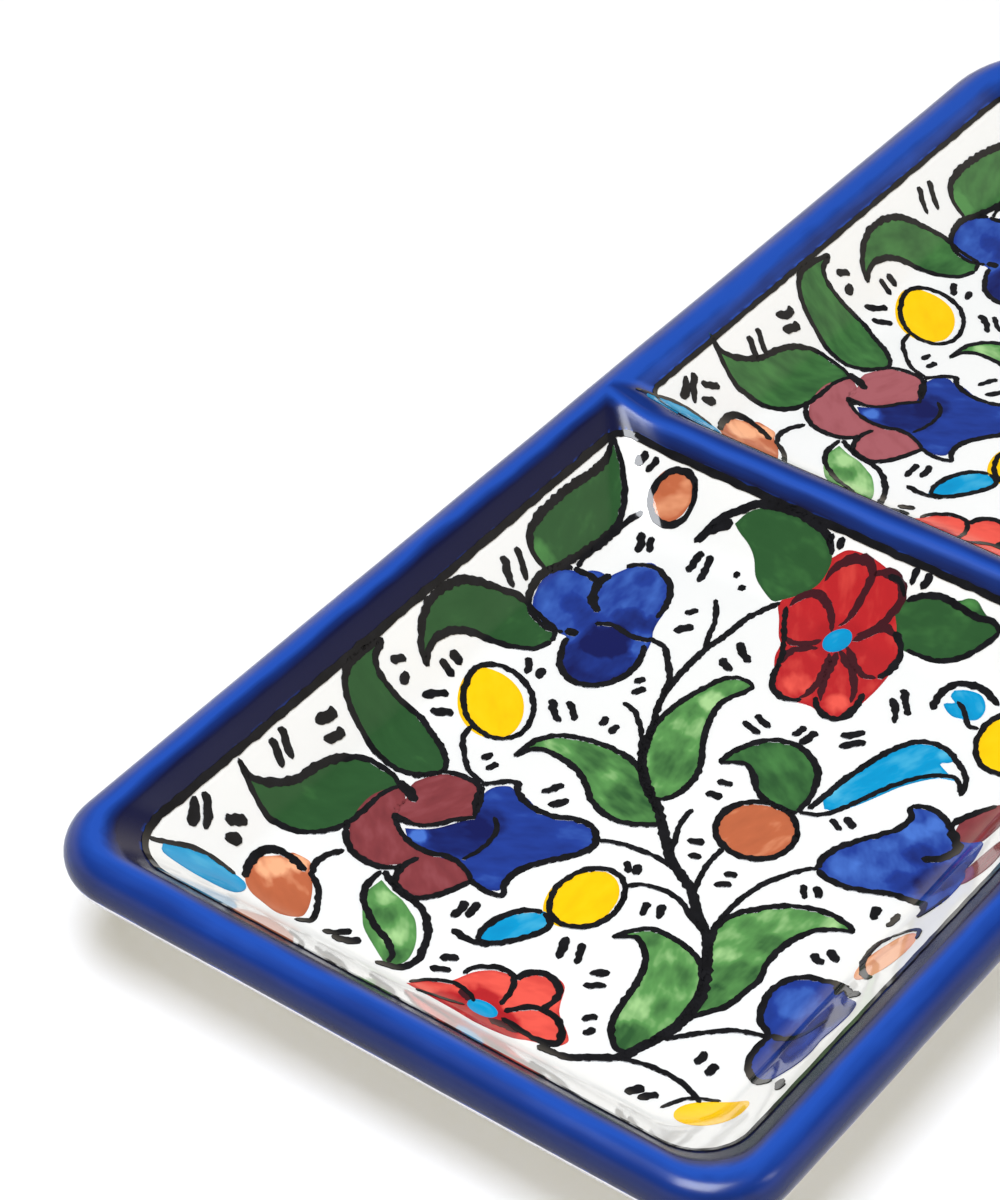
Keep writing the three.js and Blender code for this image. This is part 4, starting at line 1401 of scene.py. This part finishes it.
class Film:
    """One colour's paint in one well, before it is laid on the glaze."""

    def __init__(self):
        self.bm = bmesh.new()
        self.depth = self.bm.verts.layers.float.new("depth")
        self.tone = self.bm.verts.layers.float.new("tone")
        self.brush = self.bm.verts.layers.float_vector.new("brush")

    def add(self, flat, describe):
        """Adds a flat mesh. describe gives a vertex its depth, its tone and the brush's place there."""
        new = {vertex: self.bm.verts.new(vertex.co) for vertex in flat.verts}
        for vertex, copy in new.items():
            copy[self.depth], copy[self.tone], copy[self.brush] = describe(Vector(vertex.co[:2]))
        for face in flat.faces:
            self.bm.faces.new([new[vertex] for vertex in face.verts])
        flat.free()

    def fill(self, outline, cell, tone=0, daubs=(), seed=0):
        """A field of colour. Its brush strokes run along its longest direction."""
        middle = sum(outline, Vector((0, 0))) / len(outline)
        far = max(outline, key=lambda point: (point - middle).length)
        along = (far - middle).normalized()
        across = Vector((-along.y, along.x))

        def describe(point):
            depth = distance_to(outline, point)
            dark = tone
            for x, y, radius, strength in daubs:
                dark += strength * smooth(0.5 + (radius - (point - Vector((x, y))).length) / DAUB_EDGE)
            offset = point - middle
            return depth, dark, Vector((offset.dot(along) * 0.45, offset.dot(across), seed * 17.3))

        self.add(fill_field(outline, cell), describe)

    def stroke(self, line, width, seed, ends=(0.5, 0.35), tone=0):
        """A line from a pointed brush. ends are its widths where it starts and ends, as shares."""
        lengths = [0]
        for start, end in zip(line, line[1:]):
            lengths.append(lengths[-1] + (end - start).length)
        total = lengths[-1]
        tip = min(width * 0.5, total * 0.3)
        count = len(line) - 1

        def half_width(at, side):
            share = at / total
            press = mix(ends[0], 1, smooth(share / 0.2)) * mix(ends[1], 1, smooth((1 - share) / 0.25))
            # The hand shakes about every 2 mm, and the brush leaves a rough edge of about 0.8 mm
            shake = 1 + 0.22 * noise.noise(Vector((at / 2.2, seed * 5.1, side)))
            shake += 0.5 * noise.noise(Vector((at / 0.8, seed * 5.1, 4 * side)))
            round_end = 1
            for gap in (at, total - at):
                if gap < tip:
                    round_end = math.sqrt(max(1 - (1 - gap / tip) ** 2, 0))
            return width / 2 * press * shake * round_end

        flat = bmesh.new()
        for vertex in bmesh.ops.create_grid(flat, x_segments=count, y_segments=2, size=1)["verts"]:
            column = round((vertex.co.x + 1) / 2 * count)
            across = round(vertex.co.y)
            before, after = line[max(column - 1, 0)], line[min(column + 1, count)]
            along = (after - before).normalized()
            place = line[column] + Vector((-along.y, along.x)) * across * half_width(lengths[column], across)
            vertex.co = (place.x, place.y, 0)
        bmesh.ops.remove_doubles(flat, verts=flat.verts, dist=0.01)
        self.add(flat, lambda point: (1, tone, Vector((point.x, point.y, seed))))

    def lay(self, name, material, slot, thickness, height):
        """Lays the flat paint on the glaze and gives it a thickness, from just inside the glaze."""
        bm = self.bm
        for vertex in bm.verts:
            vertex.co = Glaze.under(vertex.co.x * MM, vertex.co.y * MM)[0]
        bmesh.ops.recalc_face_normals(bm, faces=bm.faces)
        down = [face for face in bm.faces if face.normal.z < 0]
        bmesh.ops.reverse_faces(bm, faces=down)
        surface = [Glaze.under(vertex.co.x, vertex.co.y) for vertex in bm.verts]
        for vertex, (point, normal) in zip(bm.verts, surface):
            vertex.co = point + normal * height
        number = bm.verts.layers.int.new("number")
        for index, vertex in enumerate(bm.verts):
            vertex[number] = index
        count = len(bm.verts)
        bmesh.ops.solidify(bm, geom=bm.faces[:], thickness=height + thickness / 2)
        bm.verts.ensure_lookup_table()
        for vertex in bm.verts[count:]:
            point, normal = surface[vertex[number]]
            vertex.co = point - normal * thickness / 2
        normals = [surface[vertex[number]][1] for vertex in bm.verts]
        bm.verts.layers.int.remove(number)
        return add_piece(bm, name, material, normals)


def paint_well(side, form):
    """Every colour's flat paint in one well."""
    films = {colour: Film() for colour in ORDER}
    rng = random.Random(form.seed + side)
    cell = form.cell / MM
    line_width = form.line_width / MM * LINE_SHARE[side]
    edge = border(side)
    for number, shape in enumerate(SHAPES):
        sides = [[moved_to(side, point) for point in run] for run in shape["sides"]]
        outline = [point for run in sides for point in curve(run)[:-1]]
        stray = Vector((rng.uniform(-WASH_STRAY, WASH_STRAY), rng.uniform(-WASH_STRAY, WASH_STRAY)))
        shift = Vector(shape.get("shift", (0, 0))) + stray
        colour = shape["colour"]
        daubs = [(*moved_to(side, Vector((x, y))), r, s) for x, y, r, s in shape.get("daubs", ())]
        tone = shape.get("tone", 0) + (FAR_TONES.get(colour, 0) if side == FAR else 0)
        films[colour].fill([point + shift for point in outline], cell, tone, daubs, number)
        for run_number, run in enumerate(shape.get("outlines", ())):
            line = curve([moved_to(side, point) for point in run], 0.35)
            width = line_width * rng.uniform(0.95, 1.12)
            films["black"].stroke(line, width, number * 3 + run_number, ends=(0.8, 0.75))
    for number, (width, points) in enumerate(STROKES):
        line = curve([moved_to(side, point) for point in points], 0.35)
        films["black"].stroke(line, width * line_width, STROKE_SEED + number, ends=(0.85, 0.8))
    for number, points in enumerate(PETAL_LINES):
        line = curve([moved_to(side, point) for point in points], 0.35)
        films["maroon"].stroke(line, PETAL_LINE_WIDTH, PETAL_LINE_SEED + number, tone=0.8)
    for number, (x0, y0, x1, y1) in enumerate(TICKS):
        start, end = moved_to(side, Vector((x0, y0))), moved_to(side, Vector((x1, y1)))
        inward = Vector((TICK_INWARD if min(start.x, end.x) < TICK_LIMIT else 0, 0))
        start, end = start + inward, end + inward
        past = (end - start).normalized() * TICK_REACH
        start, end = start - past, end + past
        bow = Vector((y0 - y1, x1 - x0)) * rng.uniform(-0.1, 0.1)
        line = curve([start, (start + end) / 2 + bow, end], 0.25)
        width = TICK_WIDTH * LINE_SHARE[side] * rng.uniform(0.85, 1.15)
        films["black"].stroke(line, width, TICK_SEED + number, ends=(1, 0.65))
    films["black"].stroke(edge + edge[:6], BORDER_WIDTH[side], BORDER_SEED + side, ends=(1, 1))
    return films


# The operators, one for each group of pieces


class DISH_OT_glaze(bpy.types.Operator):
    """Lay the cobalt and white glazes on the clay"""

    bl_idname = "dish.glaze"
    bl_label = "Glaze"

    def execute(self, context):
        colours = context.scene.dish_colours
        Glaze.make(context.scene.dish_form.wave)
        white = white_glaze(colours)
        cobalt = coat_piece(COBALT, "rim_and_divider_cobalt", cobalt_glaze(colours))
        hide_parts("rim_glaze", "divider_glaze")
        near = coat_piece(NEAR_WHITE, "near_well_white", white)
        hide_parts("near_well_glaze")
        far = coat_piece(FAR_WHITE, "far_well_white", white)
        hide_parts("far_well_glaze")
        outside = coat_piece(OUTSIDE_WHITE, "outside_white", white)
        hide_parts("outside_glaze")
        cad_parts["underside_glaze"].data.materials[0] = white
        return {"FINISHED"}


class DISH_OT_biscuit(bpy.types.Operator):
    """Give the bare clay of the foot its finish"""

    bl_idname = "dish.biscuit"
    bl_label = "Biscuit"

    def execute(self, context):
        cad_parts["clay_body"].data.materials[0] = biscuit(context.scene.dish_colours)
        return {"FINISHED"}


class DISH_OT_paint(bpy.types.Operator):
    """Paint the vine, leaves, fruit and flowers in both wells"""

    bl_idname = "dish.paint"
    bl_label = "Painting"

    def execute(self, context):
        form = context.scene.dish_form
        finishes = paint_finishes(context.scene.dish_colours)
        for side, well in ((NEAR, "near_well"), (FAR, "far_well")):
            films = paint_well(side, form)
            for colour in ORDER:
                material, slot = finishes[colour]
                height = height_of(colour, form.paint)
                films[colour].lay(f"{well}_{colour}", material, slot, form.paint, height)
        return {"FINISHED"}


class DISH_OT_stage(bpy.types.Operator):
    """Set up the floor, the soft boxes and the camera"""

    bl_idname = "dish.stage"
    bl_label = "Stage"

    def execute(self, context):
        add_floor()
        add_lights()
        add_camera()
        return {"FINISHED"}


# The stage. Distances are in metres.

PHOTO_HEIGHT = 1200
CAMERA_AZIMUTH = math.radians(36.57)
CAMERA_ELEVATION = math.radians(39.8)
CAMERA_DISTANCE = 0.5823
CAMERA_TARGET = Vector((-49.53, -29.42, 0)) * MM
FOCAL_PIXELS = 4002.9
SENSOR = 36
SOFTBOX_DISTANCE = 1.2
DAYLIGHT = (0.97, 1, 1.06)  # a little bluer than white


def add_floor():
    """White paper under the dish, which the camera sees as white and on which the shadow falls."""
    bm = bmesh.new()
    bmesh.ops.create_circle(bm, cap_ends=True, segments=96, radius=4)
    mesh = bpy.data.meshes.new("floor")
    bm.to_mesh(mesh)
    bm.free()
    floor = bpy.data.objects.new("floor", mesh)
    floor.location.z = -0.05 * MM
    bpy.context.scene.collection.objects.link(floor)
    material = bpy.data.materials.new("White paper sweep")
    material.use_nodes = True
    tree = material.node_tree
    shader = tree.nodes["Principled BSDF"]
    shader.inputs["Base Color"].default_value = (0.82, 0.83, 0.9, 1)
    shader.inputs["Roughness"].default_value = 0.9
    shader.inputs["Specular IOR Level"].default_value = 0
    rays = add_node(tree, "ShaderNodeLightPath")
    tree.links.new(rays.outputs["Is Camera Ray"], shader.inputs["Emission Strength"])
    shader.inputs["Emission Color"].default_value = (0.115, 0.1, 0.015, 1)
    mesh.materials.append(material)


def add_softbox(name, direction, size, power, colour=(1, 1, 1)):
    """A soft box that faces the dish. Its direction is from the dish."""
    light = bpy.data.lights.new(name, "AREA")
    light.shape = "RECTANGLE"
    light.size, light.size_y = size
    light.energy = power
    light.color = colour
    box = bpy.data.objects.new(name, light)
    towards = Vector(direction).normalized()
    box.location = towards * SOFTBOX_DISTANCE
    box.rotation_euler = towards.to_track_quat("Z", "Y").to_euler()
    bpy.context.scene.collection.objects.link(box)


def add_lights():
    """A soft box over the dish and a small one to the right, in a room with a pale sweep.

    The soft boxes stand clear of where the glaze on the wells' floors mirrors the room, so the painting
    shows without a veil.
    """
    add_softbox("top_softbox", (0.05, -0.27, 0.96), (0.6, 0.6), power=14, colour=DAYLIGHT)
    add_softbox("right_softbox", (0.72, 0.3, 0.63), (0.16, 0.24), power=0.9)
    world = bpy.data.worlds.new("studio")
    bpy.context.scene.world = world
    world.use_nodes = True
    tree = world.node_tree
    background = tree.nodes["Background"]
    # The room is pale up to about 17 degrees above the floor, and dim from about 35 degrees
    direction = add_node(tree, "ShaderNodeTexCoord").outputs["Generated"]
    height = add_node(tree, "ShaderNodeSeparateXYZ", links={"Vector": direction}).outputs["Z"]
    room = ramp(tree, height, [(0.3, linear("#FFF4E0")), (0.58, linear("#6E6D6B"))])
    tree.links.new(room, background.inputs["Color"])
    background.inputs["Strength"].default_value = 1


def add_camera():
    """The camera stands where the picture was taken from."""
    back = Vector(
        (
            math.sin(CAMERA_AZIMUTH) * math.cos(CAMERA_ELEVATION),
            -math.cos(CAMERA_AZIMUTH) * math.cos(CAMERA_ELEVATION),
            math.sin(CAMERA_ELEVATION),
        )
    )
    data = bpy.data.cameras.new("camera")
    data.sensor_width = SENSOR
    data.lens = FOCAL_PIXELS / PHOTO_HEIGHT * SENSOR
    data.clip_start = 0.01
    data.clip_end = 20
    camera = bpy.data.objects.new("camera", data)
    camera.location = CAMERA_TARGET + back * CAMERA_DISTANCE
    camera.rotation_euler = (-back).to_track_quat("-Z", "Y").to_euler()
    bpy.context.scene.collection.objects.link(camera)
    bpy.context.scene.camera = camera


class DISH_PT_panel(bpy.types.Panel):
    """The dish's sizes, colours and pieces"""

    bl_label = "Divided dish"
    bl_idname = "DISH_PT_panel"
    bl_space_type = "VIEW_3D"
    bl_region_type = "UI"
    bl_category = "Divided dish"

    def draw(self, context):
        layout = self.layout
        for group in (context.scene.dish_form, context.scene.dish_colours):
            for name in group.__annotations__:
                layout.prop(group, name)
        for operator in OPERATORS:
            layout.operator(operator.bl_idname)


OPERATORS = (DISH_OT_biscuit, DISH_OT_glaze, DISH_OT_paint, DISH_OT_stage)
CLASSES = (DishForm, DishColours, *OPERATORS, DISH_PT_panel)


def register():
    for cls in CLASSES:
        bpy.utils.register_class(cls)
    bpy.types.Scene.dish_form = PointerProperty(type=DishForm)
    bpy.types.Scene.dish_colours = PointerProperty(type=DishColours)


def unregister():
    del bpy.types.Scene.dish_colours
    del bpy.types.Scene.dish_form
    for cls in reversed(CLASSES):
        bpy.utils.unregister_class(cls)


def main():
    register()
    bpy.context.scene.view_settings.view_transform = "Standard"
    bpy.ops.dish.biscuit()
    bpy.ops.dish.glaze()
    bpy.ops.dish.paint()
    bpy.ops.dish.stage()


if __name__ == "__main__":
    main()
